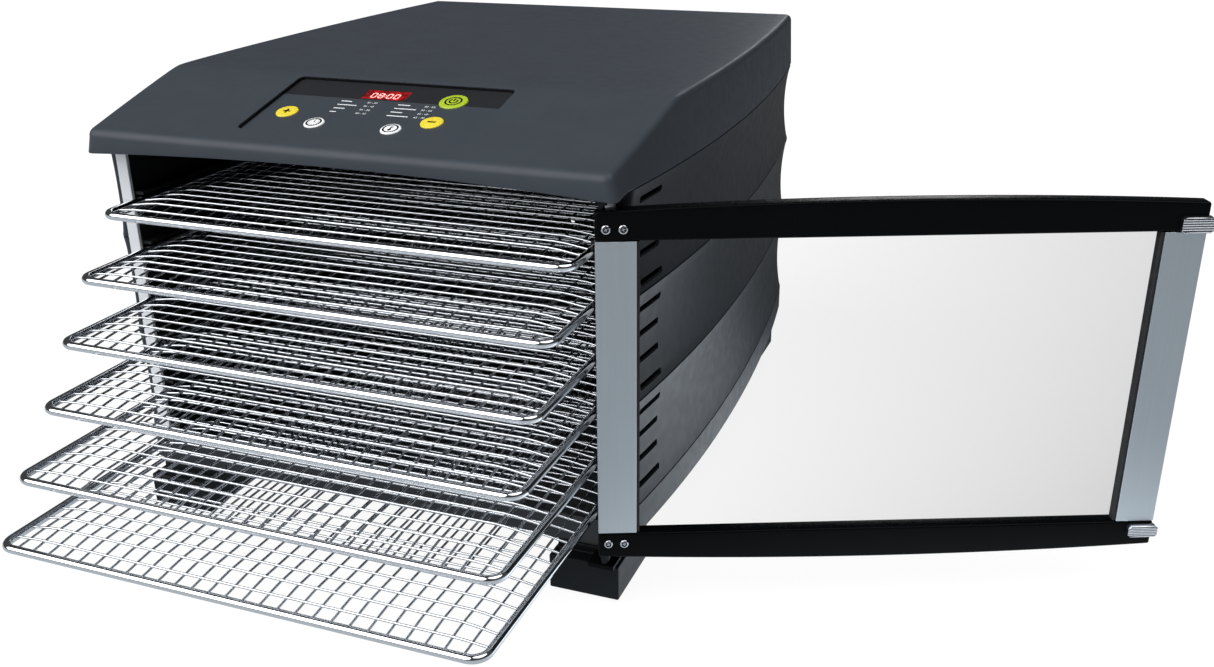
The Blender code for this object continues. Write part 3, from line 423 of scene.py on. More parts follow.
@dataclass(frozen=True)
class Metal:
    """Bare, plated or lacquered metal, brushed along an axis when its lines are stretched."""

    name: str
    slot: str
    colour: Colour
    rough: float = 0.1
    lines: tuple[float, float, float] = (220.0, 220.0, 220.0)
    depth: float = 0.000004
    streak: float = 0.06
    metallic: float = 1.0

    def make(self) -> bpy.types.Material:
        """The material."""
        w = Wiring(self.name)
        lines = w.noise(1.0, 3.0, 0.6, w.stretched(self.lines))
        wide = w.noise(30.0, 2.0)
        dark = tuple(c * (1.0 - self.streak) for c in self.colour)
        w.set("Base Color", w.mixed(w.ranged(lines, 0.3, 0.7, 0.0, 1.0), dark, self.colour))
        w.set("Metallic", self.metallic)
        low, high = max(0.02, self.rough - 0.03), self.rough + 0.04
        w.set("Roughness", w.ranged(wide, 0.3, 0.7, low, high))
        w.set("Normal", w.relief(lines, self.depth))
        return w.material


@dataclass(frozen=True)
class Pane:
    """Faintly smoked float glass: a dark film that hides more of what lies behind it
    where it is seen edge on, and painted shade that darkens it more towards the pane's free
    side."""

    name: str
    slot: str
    least: float = 0.0
    most: float = 0.60
    from_x: float = 0.0
    width: float = 0.30
    # painted shade: how much darker the pane is made at its free side
    free_side_painted_shade: float = 0.165

    def make(self) -> bpy.types.Material:
        """The material."""
        w = Wiring(self.name)
        share = w.add("ShaderNodeFresnel")
        share.inputs["IOR"].default_value = 1.5
        smear = w.noise(9.0, 2.0)
        w.set("Base Color", (0.004, 0.004, 0.004))
        w.set("Specular IOR Level", 0.02)
        w.set("Roughness", w.ranged(smear, 0.3, 0.8, 0.01, 0.04))
        # The film adds the edge-on Fresnel darkening and a painted shade that grows across X
        # towards the free side.
        film = w.add("ShaderNodeMath", operation="ADD", use_clamp=True)
        w.join(w.ranged(share.outputs[0], 0.04, 1.0, self.least, self.most), film.inputs[0])
        end_x = self.from_x + self.width
        w.join(w.ranged(w.axis("X"), self.from_x, end_x, 0.0, self.free_side_painted_shade), film.inputs[1])
        w.set("Alpha", film.outputs[0])
        return w.material


@dataclass(frozen=True)
class Rubber:
    """Matt rubber with a dusty mottled skin."""

    name: str
    slot: str
    colour: Colour = (0.012, 0.012, 0.013)

    def make(self) -> bpy.types.Material:
        """The material."""
        w = Wiring(self.name)
        dust = w.noise(160.0, 4.0)
        light = tuple(c * 2.2 for c in self.colour)
        w.set("Base Color", w.mixed(w.ranged(dust, 0.45, 0.8, 0.0, 1.0), self.colour, light))
        w.set("Roughness", w.ranged(dust, 0.2, 0.8, 0.7, 0.9))
        w.set("Normal", w.relief(w.noise(900.0, 2.0), 0.00008))
        return w.material


@dataclass(frozen=True)
class Lacquer:
    """Glossy printed keypad film over a soft cap; its glow is the lit figures' own light, and
    on the caps and print it is painted light.
    """

    name: str
    slot: str
    colour: Colour
    # glow: real light for the lit figures; on the caps and print it is painted light that
    # brightens them
    glow: float = 0.0

    def make(self) -> bpy.types.Material:
        """The material."""
        w = Wiring(self.name)
        soft = w.noise(420.0, 2.0)
        dark = tuple(c * 0.86 for c in self.colour)
        w.set("Base Color", w.mixed(w.ranged(soft, 0.35, 0.7, 0.0, 1.0), dark, self.colour))
        w.set("Roughness", w.ranged(soft, 0.3, 0.7, 0.30, 0.42))
        w.set("Coat Weight", 0.3)
        w.set("Coat Roughness", 0.15)
        w.set("Normal", w.relief(w.noise(1500.0, 2.0), 0.00002))
        # emission: real for the lit figures, painted light on the caps and print
        if self.glow:
            w.set("Emission Color", self.colour)
            w.set("Emission Strength", self.glow)
        return w.material


@dataclass(frozen=True)
class Lens:
    """Red display window: deep red with a lighter cloud where the lamps sit behind it."""

    name: str
    slot: str
    dark: Colour = (0.10, 0.002, 0.003)
    bright: Colour = (0.55, 0.010, 0.012)

    def make(self) -> bpy.types.Material:
        """The material."""
        w = Wiring(self.name)
        cloud = w.noise(260.0, 2.0)
        glow = w.mixed(w.ranged(cloud, 0.38, 0.66, 0.0, 1.0), self.dark, self.bright)
        w.set("Base Color", (0.05, 0.001, 0.001))
        w.set("Emission Color", glow)
        w.set("Emission Strength", 0.9)
        w.set("Roughness", 0.12)
        return w.material


class Finish:
    """Every finish of the machine, made once when first asked for."""

    made: dict[str, bpy.types.Material] = {}

    @classmethod
    def of(cls, finish: object) -> bpy.types.Material:
        """The material of a finish."""
        if finish.name not in cls.made:
            cls.made[finish.name] = finish.make()
        return cls.made[finish.name]


HOOD = Moulded("hood_slate", "hood_plastic", (0.051, 0.060, 0.073), 0.42, 0.0005, 0.00003,
               0.08, specular=0.20)
WALL = Moulded("wall_slate", "wall_plastic", (0.024, 0.028, 0.034), 0.38, 0.0005, 0.00002,
               0.08, specular=0.22)
TRIM = Moulded("trim_gloss_black", "black_trim", (0.0020, 0.0023, 0.0028), 0.26, 0.0008,
               0.00001, 0.2, specular=0.05)
# Black for print and marks, also used as painted shade on the screw sockets' floors and in the
# panel's groove
INK_AND_SHADE = Moulded("ink_and_painted_shade_black", "black_trim", (0.004, 0.004, 0.005), 0.35, 0.0009, 0.00001,
              specular=0.2)
FOOT = Moulded("foot_black", "foot_plastic", (0.0075, 0.0088, 0.0105), 0.38, 0.0006, 0.00002,
               specular=0.10)
INNER = Moulded("inner_black", "inner_plastic", (0.0045, 0.005, 0.006), 0.5, 0.0008,
                0.00003, specular=0.3)
FLOOR_PAN = Moulded("pan_dark", "inner_plastic", (0.010, 0.011, 0.013), 0.30, 0.0008,
                    0.00002)
CHROME = Metal("tray_chrome", "chrome", (0.80, 0.82, 0.85), 0.07)
WIRE = Metal("mesh_chrome", "chrome", (0.60, 0.62, 0.65), 0.10)
SCREW = Metal("screw_chrome", "chrome", (0.62, 0.64, 0.67), 0.14)
PIN = Metal("pin_black_steel", "chrome", (0.020, 0.021, 0.023), 0.30)
CATCH = Metal("catch_bright", "bright_aluminium", (0.66, 0.68, 0.71), 0.20,
              (12.0, 900.0, 900.0), 0.000006)
SATIN = Metal("strip_satin", "satin_aluminium", (0.50, 0.54, 0.57), 0.36,
              (1600.0, 1600.0, 14.0), 0.000004, 0.05)
BRIGHT = Metal("post_bright", "bright_aluminium", (0.88, 0.89, 0.91), 0.28,
               (900.0, 900.0, 12.0), 0.000006, metallic=0.35)
BAFFLE = Moulded("baffle_black_steel", "sheet_steel", (0.006, 0.0065, 0.007), 0.45, 0.0008,
                 0.00002)
PLATE = Metal("sheet_steel", "sheet_steel", (0.42, 0.43, 0.44), 0.38,
              (30.0, 700.0, 700.0), 0.000008, 0.12)
MOTOR = Metal("motor_steel", "motor_steel", (0.35, 0.36, 0.37), 0.42)
HEATER = Metal("heater_tube", "heater_steel", (0.20, 0.18, 0.17), 0.5)
RUBBER = Rubber("pad_rubber", "rubber")
BOARD = Lacquer("board_green", "circuit_board", (0.01, 0.09, 0.03))
# GREEN, YELLOW and WHITE glow as painted light that brightens the caps and the cutout; they are
# no lamps
GREEN = Lacquer("cap_green", "button_green", (0.46, 0.62, 0.03), 0.06)
YELLOW = Lacquer("cap_yellow", "button_yellow", (0.90, 0.72, 0.05), 0.12)
WHITE = Lacquer("cap_white", "button_white", (0.86, 0.88, 0.90), 0.35)
LENS = Lens("window_red", "display_red")
DIGIT = Lacquer("digit_lit", "display_red", (1.0, 0.30, 0.28), 2.4)
# The print's glow is painted light that brightens it
PRINT = Lacquer("print_white", "button_white", (0.80, 0.82, 0.84), 0.25)


# ---- pieces -----------------------------------------------------------------------
@dataclass
class Site:
    """Where body coordinates lie in the frame."""

    origin: Vector

    @classmethod
    def found(cls) -> "Site":
        """Reads the centre line from the front feet, the mouth from the hood's lip."""
        left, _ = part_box("foot_front_left")
        _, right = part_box("foot_front_right")
        lip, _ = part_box("hood")
        pad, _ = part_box("pad_front_left")
        return cls(Vector(((left.x + right.x) / 2, lip.y - Plan.lip_y, pad.z)))


def settled(name: str, shape: Shape, origin: Vector) -> bpy.types.Mesh:
    """A mesh from a surface: doubles merged and faces turned outward.

    Args:
        name: the mesh's name.
        shape: the surface, in body coordinates.
        origin: where body coordinates start in the frame.

    Returns:
        The mesh.
    """
    mesh = bpy.data.meshes.new(name)
    points = shape.points + np.array(origin)
    mesh.from_pydata(points.tolist(), [], [list(map(int, f)) for f in shape.faces])
    bm = bmesh.new()
    bm.from_mesh(mesh)
    bmesh.ops.remove_doubles(bm, verts=bm.verts, dist=0.000004)
    bmesh.ops.recalc_face_normals(bm, faces=bm.faces)
    bm.to_mesh(mesh)
    bm.free()
    return mesh


def dressed(obj: bpy.types.Object, finish: object, body: str, replaces: tuple = (),
            angle: float = 32.0) -> bpy.types.Object:
    """Gives an object its finish and body, and smooths it up to an angle.

    Args:
        obj: the object, already linked.
        finish: its finish.
        body: the CAD body it rides on.
        replaces: CAD nodes it stands for.
        angle: edges sharper than this stay sharp.

    Returns:
        The same object.
    """
    obj.data.materials.clear()
    obj.data.materials.append(Finish.of(finish))
    obj.data.shade_smooth()
    obj.data.set_sharp_from_angle(angle=math.radians(angle))
    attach(obj, body)
    if replaces:
        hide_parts(*replaces)
    LOG.info("%s: %d faces on %s", obj.name, len(obj.data.polygons), body)
    return obj


@dataclass
class Maker:
    """Turns surfaces into pieces of the machine."""

    site: Site

    def piece(self, name: str, shape: Shape, finish: object, body: str,
              replaces: tuple = (), angle: float = 32.0, edge: float = 0.0,
              cut: Shape | None = None) -> bpy.types.Object:
        """Makes a piece.

        Args:
            name: the piece's name.
            shape: its surface in body coordinates.
            finish: its finish.
            body: the CAD body it rides on.
            replaces: CAD nodes it stands for.
            angle: edges sharper than this stay sharp.
            edge: radius of its rounded edges, 0 for none.
            cut: what is cut out of it.

        Returns:
            The finished object.
        """
        mesh = settled(name, shape, self.site.origin)
        obj = bpy.data.objects.new(name, mesh)
        bpy.context.scene.collection.objects.link(obj)
        if cut is not None:
            self.cut_out(obj, cut)
        if edge:
            self.rounded(obj, edge)
        return dressed(obj, finish, body, replaces, angle)

    def cut_out(self, obj: bpy.types.Object, cut: Shape) -> None:
        """Cuts a closed shape out of an object and keeps the result as its mesh.

        Args:
            obj: the object.
            cut: what to take away, in body coordinates.
        """
        tool = bpy.data.objects.new("cutter", settled("cutter", cut, self.site.origin))
        bpy.context.scene.collection.objects.link(tool)
        work = obj.modifiers.new("cut", "BOOLEAN")
        work.object = tool
        work.operation = "DIFFERENCE"
        work.solver = "EXACT"
        work.use_self = True
        graph = bpy.context.evaluated_depsgraph_get()
        result = bpy.data.meshes.new_from_object(obj.evaluated_get(graph))
        obj.modifiers.clear()
        result.name = obj.name
        obj.data = result
        bpy.data.objects.remove(tool)

    @staticmethod
    def rounded(obj: bpy.types.Object, radius: float) -> None:
        """Rounds an object's sharp edges with a bevel of three segments."""
        work = obj.modifiers.new("edges", "BEVEL")
        work.width = radius
        work.segments = 3
        work.limit_method = "ANGLE"
        work.angle_limit = math.radians(35.0)
        work.harden_normals = True

    def carried(self, node: str, finish: object, body: str, edge: float,
                angle: float = 32.0) -> bpy.types.Object:
        """A CAD node's copy with its flats made whole and its edges rounded.

        Args:
            node: the CAD node.
            finish: its finish.
            body: the body it rides on.
            edge: radius of the rounding.
            angle: edges sharper than this stay sharp.

        Returns:
            The piece, which stands for the node.
        """
        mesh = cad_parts[node].data.copy()
        bm = bmesh.new()
        bm.from_mesh(mesh)
        bmesh.ops.remove_doubles(bm, verts=bm.verts, dist=0.00001)
        bmesh.ops.dissolve_limit(bm, angle_limit=math.radians(0.6), verts=bm.verts,
                                 edges=bm.edges)
        bmesh.ops.recalc_face_normals(bm, faces=bm.faces)
        bm.to_mesh(mesh)
        bm.free()
        obj = bpy.data.objects.new("made_" + node, mesh)
        bpy.context.scene.collection.objects.link(obj)
        self.rounded(obj, edge)
        return dressed(obj, finish, body, (node,), angle)

    @staticmethod
    def kept(node: str, finish: object) -> None:
        """Gives a CAD node that stays shown its finish."""
        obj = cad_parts[node]
        for place in obj.material_slots:
            place.material = Finish.of(finish)


# ---- plan of the body -------------------------------------------------------------
@dataclass(frozen=True)
class Plan:
    """Plan curves and heights that the shell's pieces share."""

    lip_y: float = -0.0135
    back_y: float = 0.440
    widest_y: float = 0.172
    half_max: float = 0.191
    front_drop: float = 0.0123
    back_drop: float = 0.020
    edge_half_max: float = 0.1845
    edge_front_drop: float = 0.0085
    edge_back_drop: float = 0.015
    lip_bottom: float = 0.2575
    lip_arch: float = 0.0055
    lip_top: float = 0.272
    crest_y: float = 0.0843
    crest_z: float = 0.2974
    back_z: float = 0.3012
    seams: tuple[float, ...] = (0.060, 0.130, 0.197, 0.2608)
    skirt_z: float = 0.0403
    nose_z: float = 0.0335
    nose_y: float = 0.025

    def bowed(self, y: Array, widest: float, front: float, back: float) -> Array:
        """Half width at depth y: two parabolas that meet at the widest place."""
        y = np.asarray(y, float)
        ahead = ((self.widest_y - y) / (self.widest_y - self.lip_y)) ** 2
        behind = ((y - self.widest_y) / (self.back_y - self.widest_y)) ** 2
        return widest - np.where(y < self.widest_y, front * ahead, back * behind)

    def wall_half(self, y: Array) -> Array:
        """Half width of the walls."""
        return self.bowed(y, self.half_max, self.front_drop, self.back_drop)

    def edge_half(self, y: Array) -> Array:
        """Half width of the hood's upper edge."""
        return self.bowed(y, self.edge_half_max, self.edge_front_drop, self.edge_back_drop)

    def roof(self, y: Array) -> Array:
        """Height of the roof line: the lower of apron and level top, blended softly."""
        slope = (self.crest_z - self.lip_top) / (self.crest_y - self.lip_y)
        rise = (self.back_z - self.crest_z) / (self.back_y - self.crest_y)
        apron = self.lip_top + slope * (y - self.lip_y)
        level = self.crest_z + rise * (y - self.crest_y)
        gap = level - apron
        return apron + 0.5 * (gap - np.sqrt(gap * gap + 0.0012 ** 2)) + 0.0006

    def half_plan(self, half: object, y0: float, y1: float, front_r: float,
                  back_r: float, stops: Array, steps: int) -> Array:
        """Right half of a plan outline: front corner arc, bowed side, back corner arc.

        Args:
            half: half width as a function of depth.
            y0: front.
            y1: back.
            front_r: radius of the front corner.
            back_r: radius of the back corner.
            stops: depths of the side's stations.
            steps: points on each corner arc.

        Returns:
            Points of shape (n, 2), front to back.
        """
        turn = np.radians(np.linspace(-90.0, 0.0, steps))
        front = np.stack([half(y0 + front_r) - front_r + front_r * np.cos(turn),
                          y0 + front_r + front_r * np.sin(turn)], axis=-1)
        turn = turn + np.pi / 2
        back = np.stack([half(y1 - back_r) - back_r + back_r * np.cos(turn),
                         y1 - back_r + back_r * np.sin(turn)], axis=-1)
        y = stops[(stops > y0 + front_r) & (stops < y1 - back_r)]
        return np.concatenate([front, np.stack([half(y), y], axis=-1), back])

    @staticmethod
    def outward(points: Array) -> Array:
        """Unit normals of an open plan line walked with the outside on its right."""
        ahead = np.gradient(points, axis=0)
        return unit(np.stack([ahead[:, 1], -ahead[:, 0]], axis=-1))


PLAN = Plan()


# ---- hood and its panel -----------------------------------------------------------
@dataclass
class Hood:
    """Moulded cover: front lip, sloped apron, soft crest and a nearly level top."""

    maker: Maker
    corner: float = 0.0060
    round_r: float = 0.0045
    foot_r: float = 0.0008
    across: int = 30

    def loop(self, inset: float, shrink: float) -> Array:
        """Closed plan loop of the hood at one level.

        Args:
            inset: distance inward from the outline.
            shrink: 0 at the foot of the side, 1 at its upper edge.

        Returns:
            Points of shape (n, 2): front edge, right side, back edge, left side.
        """
        def half(y: Array) -> Array:
            """Half width, a mix of the walls' and the upper edge's."""
            return (1.0 - shrink) * PLAN.wall_half(y) + shrink * PLAN.edge_half(y)

        stops = np.unique(np.concatenate([np.linspace(-0.007, 0.434, 64),
                                          np.linspace(0.070, 0.098, 15)]))
        pts = PLAN.half_plan(half, PLAN.lip_y, PLAN.back_y, self.corner, self.corner,
                             stops, 9)
        out = PLAN.outward(pts)
        out[0], out[-1] = (0.0, -1.0), (0.0, 1.0)
        right = pts - inset * out
        left = (right * (-1.0, 1.0))[::-1]
        share = np.linspace(-1.0, 1.0, self.across + 1)[1:-1]
        front = np.stack([right[0, 0] * share, np.full_like(share, right[0, 1])], axis=-1)
        back = np.stack([right[-1, 0] * share[::-1],
                         np.full_like(share, right[-1, 1])], axis=-1)
        return np.concatenate([front, right, back, left])

    def foot(self, plan: Array) -> Array:
        """Lower edge: arched by lip_arch (1 - (x / half)^2) in front, level at the sides."""
        x, y = plan.T
        half = float(PLAN.wall_half(PLAN.lip_y))
        arch = PLAN.lip_bottom + PLAN.lip_arch * np.clip(1.0 - (x / half) ** 2, 0.0, None)
        behind = np.clip((y - PLAN.lip_y - SHEET) / 0.010, 0.0, 1.0)
        side = PLAN.lip_bottom + (PLAN.seams[3] - PLAN.lip_bottom) * behind
        return np.where(y < PLAN.lip_y + SHEET + 0.0001, arch, side)

    def cap(self, loop: Array, height: Array) -> Shape:
        """Rows across the top of a loop, straight between its left and right halves."""
        side = (len(loop) - 2 * (self.across - 1)) // 2
        right = loop[self.across - 1:self.across - 1 + side]
        z = height[self.across - 1:self.across - 1 + side]
        share = np.linspace(-1.0, 1.0, self.across + 1)
        points = np.stack([right[:, :1] * share, right[:, 1:] + 0.0 * share,
                           z[:, None] + 0.0 * share], axis=-1)
        return grid(points)

    def shell(self) -> Shape:
        """Outer and inner skins: rings go up the side, round its edge and over the top."""
        r = self.round_r
        outer = []
        for turn in np.radians([0.0, 45.0, 90.0]):
            plan = self.loop(self.foot_r * (1.0 - math.sin(turn)), 0.0)
            lift = self.foot_r * (1.0 - math.cos(turn))
            outer.append(np.column_stack([plan, self.foot(plan) + lift]))
        for turn in np.radians(np.linspace(0.0, 90.0, 9)):
            plan = self.loop(r * (1.0 - math.cos(turn)), 1.0)
            drop = r * (1.0 - math.sin(turn))
            outer.append(np.column_stack([plan, PLAN.roof(plan[:, 1]) - drop]))
        inner = []
        for inset, shrink, drop in ((SHEET, 0.0, None), (SHEET, 1.0, r + SHEET),
                                    (SHEET + 0.3 * r, 1.0, SHEET)):
            plan = self.loop(inset, shrink)
            z = self.foot(plan) if drop is None else PLAN.roof(plan[:, 1]) - drop
            inner.append(np.column_stack([plan, z]))
        skins = grid(np.stack(inner[::-1] + outer), wrap_v=True)
        top, under = outer[-1], inner[-1]
        return merged(skins, self.cap(top[:, :2], top[:, 2]),
                      self.cap(under[:, :2], under[:, 2]))

    def build(self, panel: "Panel") -> None:
        """Makes the hood with the panel's opening cut through it."""
        self.maker.piece("hood_shell", self.shell(), HOOD, Body.SHELL.value, ("hood",),
                         angle=38.0, cut=panel.opening())


@dataclass
class Panel:
    """Control panel let into the apron: plate, window, five caps and printed marks."""

    maker: Maker
    centre_x: float = 0.0018
    half: float = 0.0778
    y0: float = 0.0050
    y1: float = 0.0793
    sink: float = 0.0015
    seam: float = 0.0008
    # thickness of the black ring painted as the groove's shade
    groove_shade_wall: float = 0.0006
    thick: float = 0.0025
    corner: float = 0.0045
    band_y: float = 0.0570
    window: tuple[float, float, float, float] = (-0.0042, 0.0640, 0.0305, 0.0120)
    caps: dict = field(default_factory=lambda: {
        "power_button": (0.0446, 0.0612, 0.0092, GREEN),
        "minus_button": (0.0440, 0.0335, 0.0072, YELLOW),
        "plus_button": (-0.0580, 0.0337, 0.0072, YELLOW),
        "timer_button": (-0.0312, 0.0223, 0.0064, WHITE),
        "temperature_button": (0.0224, 0.0219, 0.0064, WHITE)})
    cap_rise: float = 0.0006
    cap_tall: float = 0.0036
    cap_gap: float = 0.0004
    cap_round: float = 0.0007
    bore: tuple[float, float] = (-0.010, 0.004)
    seat_z: float = -0.0056
    seat_over: float = 0.003
    figure_size: tuple[float, float, float] = (0.0030, 0.0058, 0.00075)
    figure_pitch: float = 0.0050
    figure_drop: float = 0.0010
    print_top: float = 0.0527
    print_pitch: float = 0.0048
    ink: float = 0.00006

    def slope(self) -> float:
        """Angle of the apron."""
        return math.atan2(PLAN.crest_z - PLAN.lip_top, PLAN.crest_y - PLAN.lip_y)

    def matrix(self) -> Matrix:
        """Panel coordinates to body coordinates: X across, Y up the slope, Z outward."""
        y = (self.y0 + self.y1) / 2.0
        z = PLAN.lip_top + (y - PLAN.lip_y) * math.tan(self.slope())
        return Matrix.Translation((self.centre_x, y, z)) @ Matrix.Rotation(self.slope(), 4,
                                                                            "X")

    def local(self, x: float, y: float) -> tuple[float, float]:
        """A place on the apron in panel coordinates."""
        mid = (self.y0 + self.y1) / 2.0
        return x - self.centre_x, (y - mid) / math.cos(self.slope())

    def depth(self) -> float:
        """Half the panel's depth up the slope."""
        return (self.y1 - self.y0) / math.cos(self.slope()) / 2.0

    def opening(self) -> Shape:
        """Round-cornered hole that the hood leaves for the panel."""
        d = self.depth()
        loop = rounded_rectangle(-self.half, self.half, -d, d, self.corner, 7)
        return prism(loop, -0.008, 0.008).mapped(self.matrix())

    def build_plate(self) -> None:
        """The plate with the window's hole and cap holes cut through, a black seat under it as
        painted shade seen through the gaps, and a black ring on the groove's walls as painted
        shade.
        """
        d, g, m = self.depth(), self.seam, self.matrix()
        outline = rounded_rectangle(-self.half + g, self.half - g, -d + g, d - g,
                                    self.corner - g, 7)
        plate = prism(outline, -self.sink - self.thick, -self.sink)
        holes = []
        for x, y, radius, _ in self.caps.values():
            px, py = self.local(x, y)
            low, high = self.bore
            wide = radius + self.cap_gap
            hole = revolved([(0.0, low), (wide, low), (wide, high), (0.0, high)], 48)
            holes.append(hole.moved((px, py, 0.0)))
        wx, wy, ww, wd = self.window
        px, py = self.local(wx, wy)
        pane = rounded_rectangle(px - ww / 2 - GAP, px + ww / 2 + GAP, py - wd / 2 - GAP,
                                 py + wd / 2 + GAP, 0.0008)
        holes.append(prism(pane, *self.bore))
        mid = self.maker.site.origin.y + self.band_y
        finish = BandedPanel("panel_slate", "panel_plastic", (0.046, 0.056, 0.068), 0.36,
                             0.0012, 0.00002, 0.1, 0.0, 0.5, (0.017, 0.019, 0.022), mid)
        self.maker.piece("panel_plate", plate.mapped(m), finish, Body.SHELL.value,
                         ("control_panel",), cut=merged(*holes).mapped(m))
        # Painted shade: a black seat under the plate, seen through the seam and cap gaps
        over, low, high = self.seat_over, self.seat_z - 0.0006, self.seat_z
        seat = prism(rounded_rectangle(-self.half - over, self.half + over, -d - over,
                                       d + over, self.corner), low, high)
        self.maker.piece("panel_shade_seat", seat.mapped(m), INK_AND_SHADE, Body.SHELL.value)
        # Painted shade: a black ring lines the groove's walls round the plate
        rings = []
        film = 0.0001
        for inset, z in ((film, high), (film, -film), (self.groove_shade_wall, -film),
                         (self.groove_shade_wall, high)):
            loop = rounded_rectangle(-self.half + inset, self.half - inset, -d + inset,
                                     d - inset, self.corner - inset, 7)
            rings.append(np.column_stack([loop, np.full(len(loop), z)]))
        groove_shade_ring = grid(np.stack(rings), wrap_u=True, wrap_v=True)
        self.maker.piece("panel_groove_shade", groove_shade_ring.mapped(m), INK_AND_SHADE, Body.SHELL.value)

    def build_window(self) -> None:
        """The window and four lit figures of seven strokes each."""
        wx, wy, ww, wd = self.window
        px, py = self.local(wx, wy)
        lens = prism(rounded_rectangle(px - ww / 2, px + ww / 2, py - wd / 2, py + wd / 2,
                                       0.0006), -self.sink - 0.0028, -self.sink - 0.0001)
        self.maker.piece("window_lens", lens.mapped(self.matrix()), LENS, Body.SHELL.value,
                         ("display_window",))
        strokes = {"0": "abcdef", "8": "abcdefg"}
        wide, tall, bar = self.figure_size
        z0 = -self.sink - 0.0001
        z1 = z0 + 0.00008
        parts = []
        for k, figure in enumerate("0800"):
            cx = px + (-1.5 + k) * self.figure_pitch + (0.0006 if k > 1 else -0.0006)
            for letter in strokes[figure]:
                parts.append(self.stroke(letter, cx, py - self.figure_drop, wide, tall, bar,
                                         z0, z1))
        dot = 0.0003
        for dy in (-4 * dot, 4 * dot):
            cy = py - self.figure_drop + dy
            parts.append(block(px - dot, px + dot, cy - dot, cy + dot, z0, z1))
        self.maker.piece("window_figures", merged(*parts).mapped(self.matrix()), DIGIT,
                         Body.SHELL.value)

    @staticmethod
    def stroke(letter: str, cx: float, cy: float, wide: float, tall: float, bar: float,
               z0: float, z1: float) -> Shape:
        """One stroke of a seven-stroke figure: a bar with pointed ends.

        Args:
            letter: a to g, clockwise from the top, g in the middle.
            cx: centre of the figure across.
            cy: centre of the figure along.
            wide: width between stroke axes.
            tall: height between the top and bottom axes.
            bar: width of a stroke.
            z0: lower height.
            z1: upper height.

        Returns:
            The stroke.
        """
        level = {"a": 1.0, "g": 0.0, "d": -1.0}
        h = bar / 2
        if letter in level:
            length = wide / 2 - 0.0002
            loop = np.array([(-length, 0), (-length + h, -h), (length - h, -h), (length, 0),
                             (length - h, h), (-length + h, h)])
            return prism(loop + (cx, cy + level[letter] * tall / 2), z0, z1)
        side = 1.0 if letter in "bc" else -1.0
        half = 1.0 if letter in "bf" else -1.0
        length = tall / 4 - 0.0002
        loop = np.array([(0, -length), (h, -length + h), (h, length - h), (0, length),
                         (-h, length - h), (-h, -length + h)])
        return prism(loop + (cx + side * wide / 2, cy + half * tall / 4), z0, z1)

    def build_caps(self) -> None:
        """Five domed caps, each with its black mark, on its own sliding body."""
        for name, (x, y, radius, finish) in self.caps.items():
            px, py = self.local(x, y)
            at = Matrix(self.matrix()) @ Matrix.Translation((px, py, 0.0))
            top = -self.sink + self.cap_rise
            turn = np.radians(np.linspace(0.0, 90.0, 6))
            r = self.cap_round
            edge = np.stack([radius - r + r * np.cos(turn), top - r + r * np.sin(turn)],
                            axis=-1)
            base = top - self.cap_tall
            profile = np.concatenate([[(0.0, base), (radius, base)], edge, [(0.0, top)]])
            self.maker.piece(name + "_cap", revolved(profile, 56).mapped(at), finish, name,
                             (name,), angle=50.0)
            mark = self.mark(name, radius, top).mapped(at)
            self.maker.piece(name + "_mark", mark, INK_AND_SHADE, name)

    def mark(self, name: str, radius: float, top: float) -> Shape:
        """Black symbol on a cap.

        Args:
            name: the button.
            radius: the cap's radius.
            top: height of the cap's face.

        Returns:
            The symbol's bars, rings and discs, a film thick.
        """
        z0, z1, r = top, top + self.ink, radius
        bar = 0.20 * r

        def line(x0: float, x1: float, y0: float, y1: float) -> Shape:
            """A bar of the symbol."""
            return block(x0, x1, y0, y1, z0, z1)

        if name == "plus_button":
            arm = 0.36 * r
            return merged(line(-arm, arm, -bar / 2, bar / 2),
                          line(-bar / 2, bar / 2, -arm, arm))
        if name == "minus_button":
            return line(-0.40 * r, 0.40 * r, -bar / 2, bar / 2)
        if name == "power_button":
            ring = arc_band(0.50 * r, 0.62 * r, 0.0, 360.0, z0, z1, 49)
            sweep = arc_band(0.22 * r, 0.33 * r, 125.0, 415.0, z0, z1, 37)
            return merged(ring, sweep, line(-0.06 * r, 0.06 * r, 0.02 * r, 0.40 * r))
        ring = arc_band(0.62 * r, 0.80 * r, 0.0, 360.0, z0, z1, 49)
        if name == "timer_button":
            ticks = [line(0.44 * r, 0.56 * r, -0.035 * r, 0.035 * r)
                     .mapped(Matrix.Rotation(math.radians(30.0 * k), 4, "Z"))
                     for k in range(12)]
            hands = [line(-0.04 * r, 0.04 * r, 0.0, 0.42 * r),
                     line(0.0, 0.32 * r, -0.04 * r, 0.04 * r)]
            return merged(ring, *ticks, *hands)
        stem = line(-0.075 * r, 0.075 * r, -0.20 * r, 0.44 * r)
        bulb = arc_band(0.0001, 0.19 * r, 0.0, 360.0, z0, z1, 33).moved((0.0, -0.26 * r, 0.0))
        side = [line(0.14 * r, 0.28 * r, k * r, (k + 0.05) * r) for k in (0.05, 0.19, 0.33)]
        return merged(ring, stem, bulb, *side)

    def build_print(self) -> None:
        """Printed table: four rows in two columns, a plain bar and a pair of numbers each."""
        z0 = -self.sink
        z1 = z0 + 0.00004
        bars, figures = [], []
        rows = {-0.0300: ((0.0075, "35 - 50"), (0.0135, "40 - 45"), (0.0080, "45 - 50"),
                          (0.0045, "50 - 55")),
                0.0105: ((0.0085, "50 - 55"), (0.0150, "50 - 55"), (0.0080, "55 - 60"),
                         (0.0145, "65 - 70"))}
        for start, lines in rows.items():
            for k, (length, numbers) in enumerate(lines):
                px, py = self.local(start, self.print_top - self.print_pitch * k)
                bars.append(block(px, px + length, py - 0.0005, py + 0.0005, z0, z1))
                figures.append(self.written(numbers, 0.0026, px + 0.0185, py - 0.0009, z1))
        self.maker.piece("panel_print", merged(*bars, *figures).mapped(self.matrix()), PRINT,
                         Body.SHELL.value)

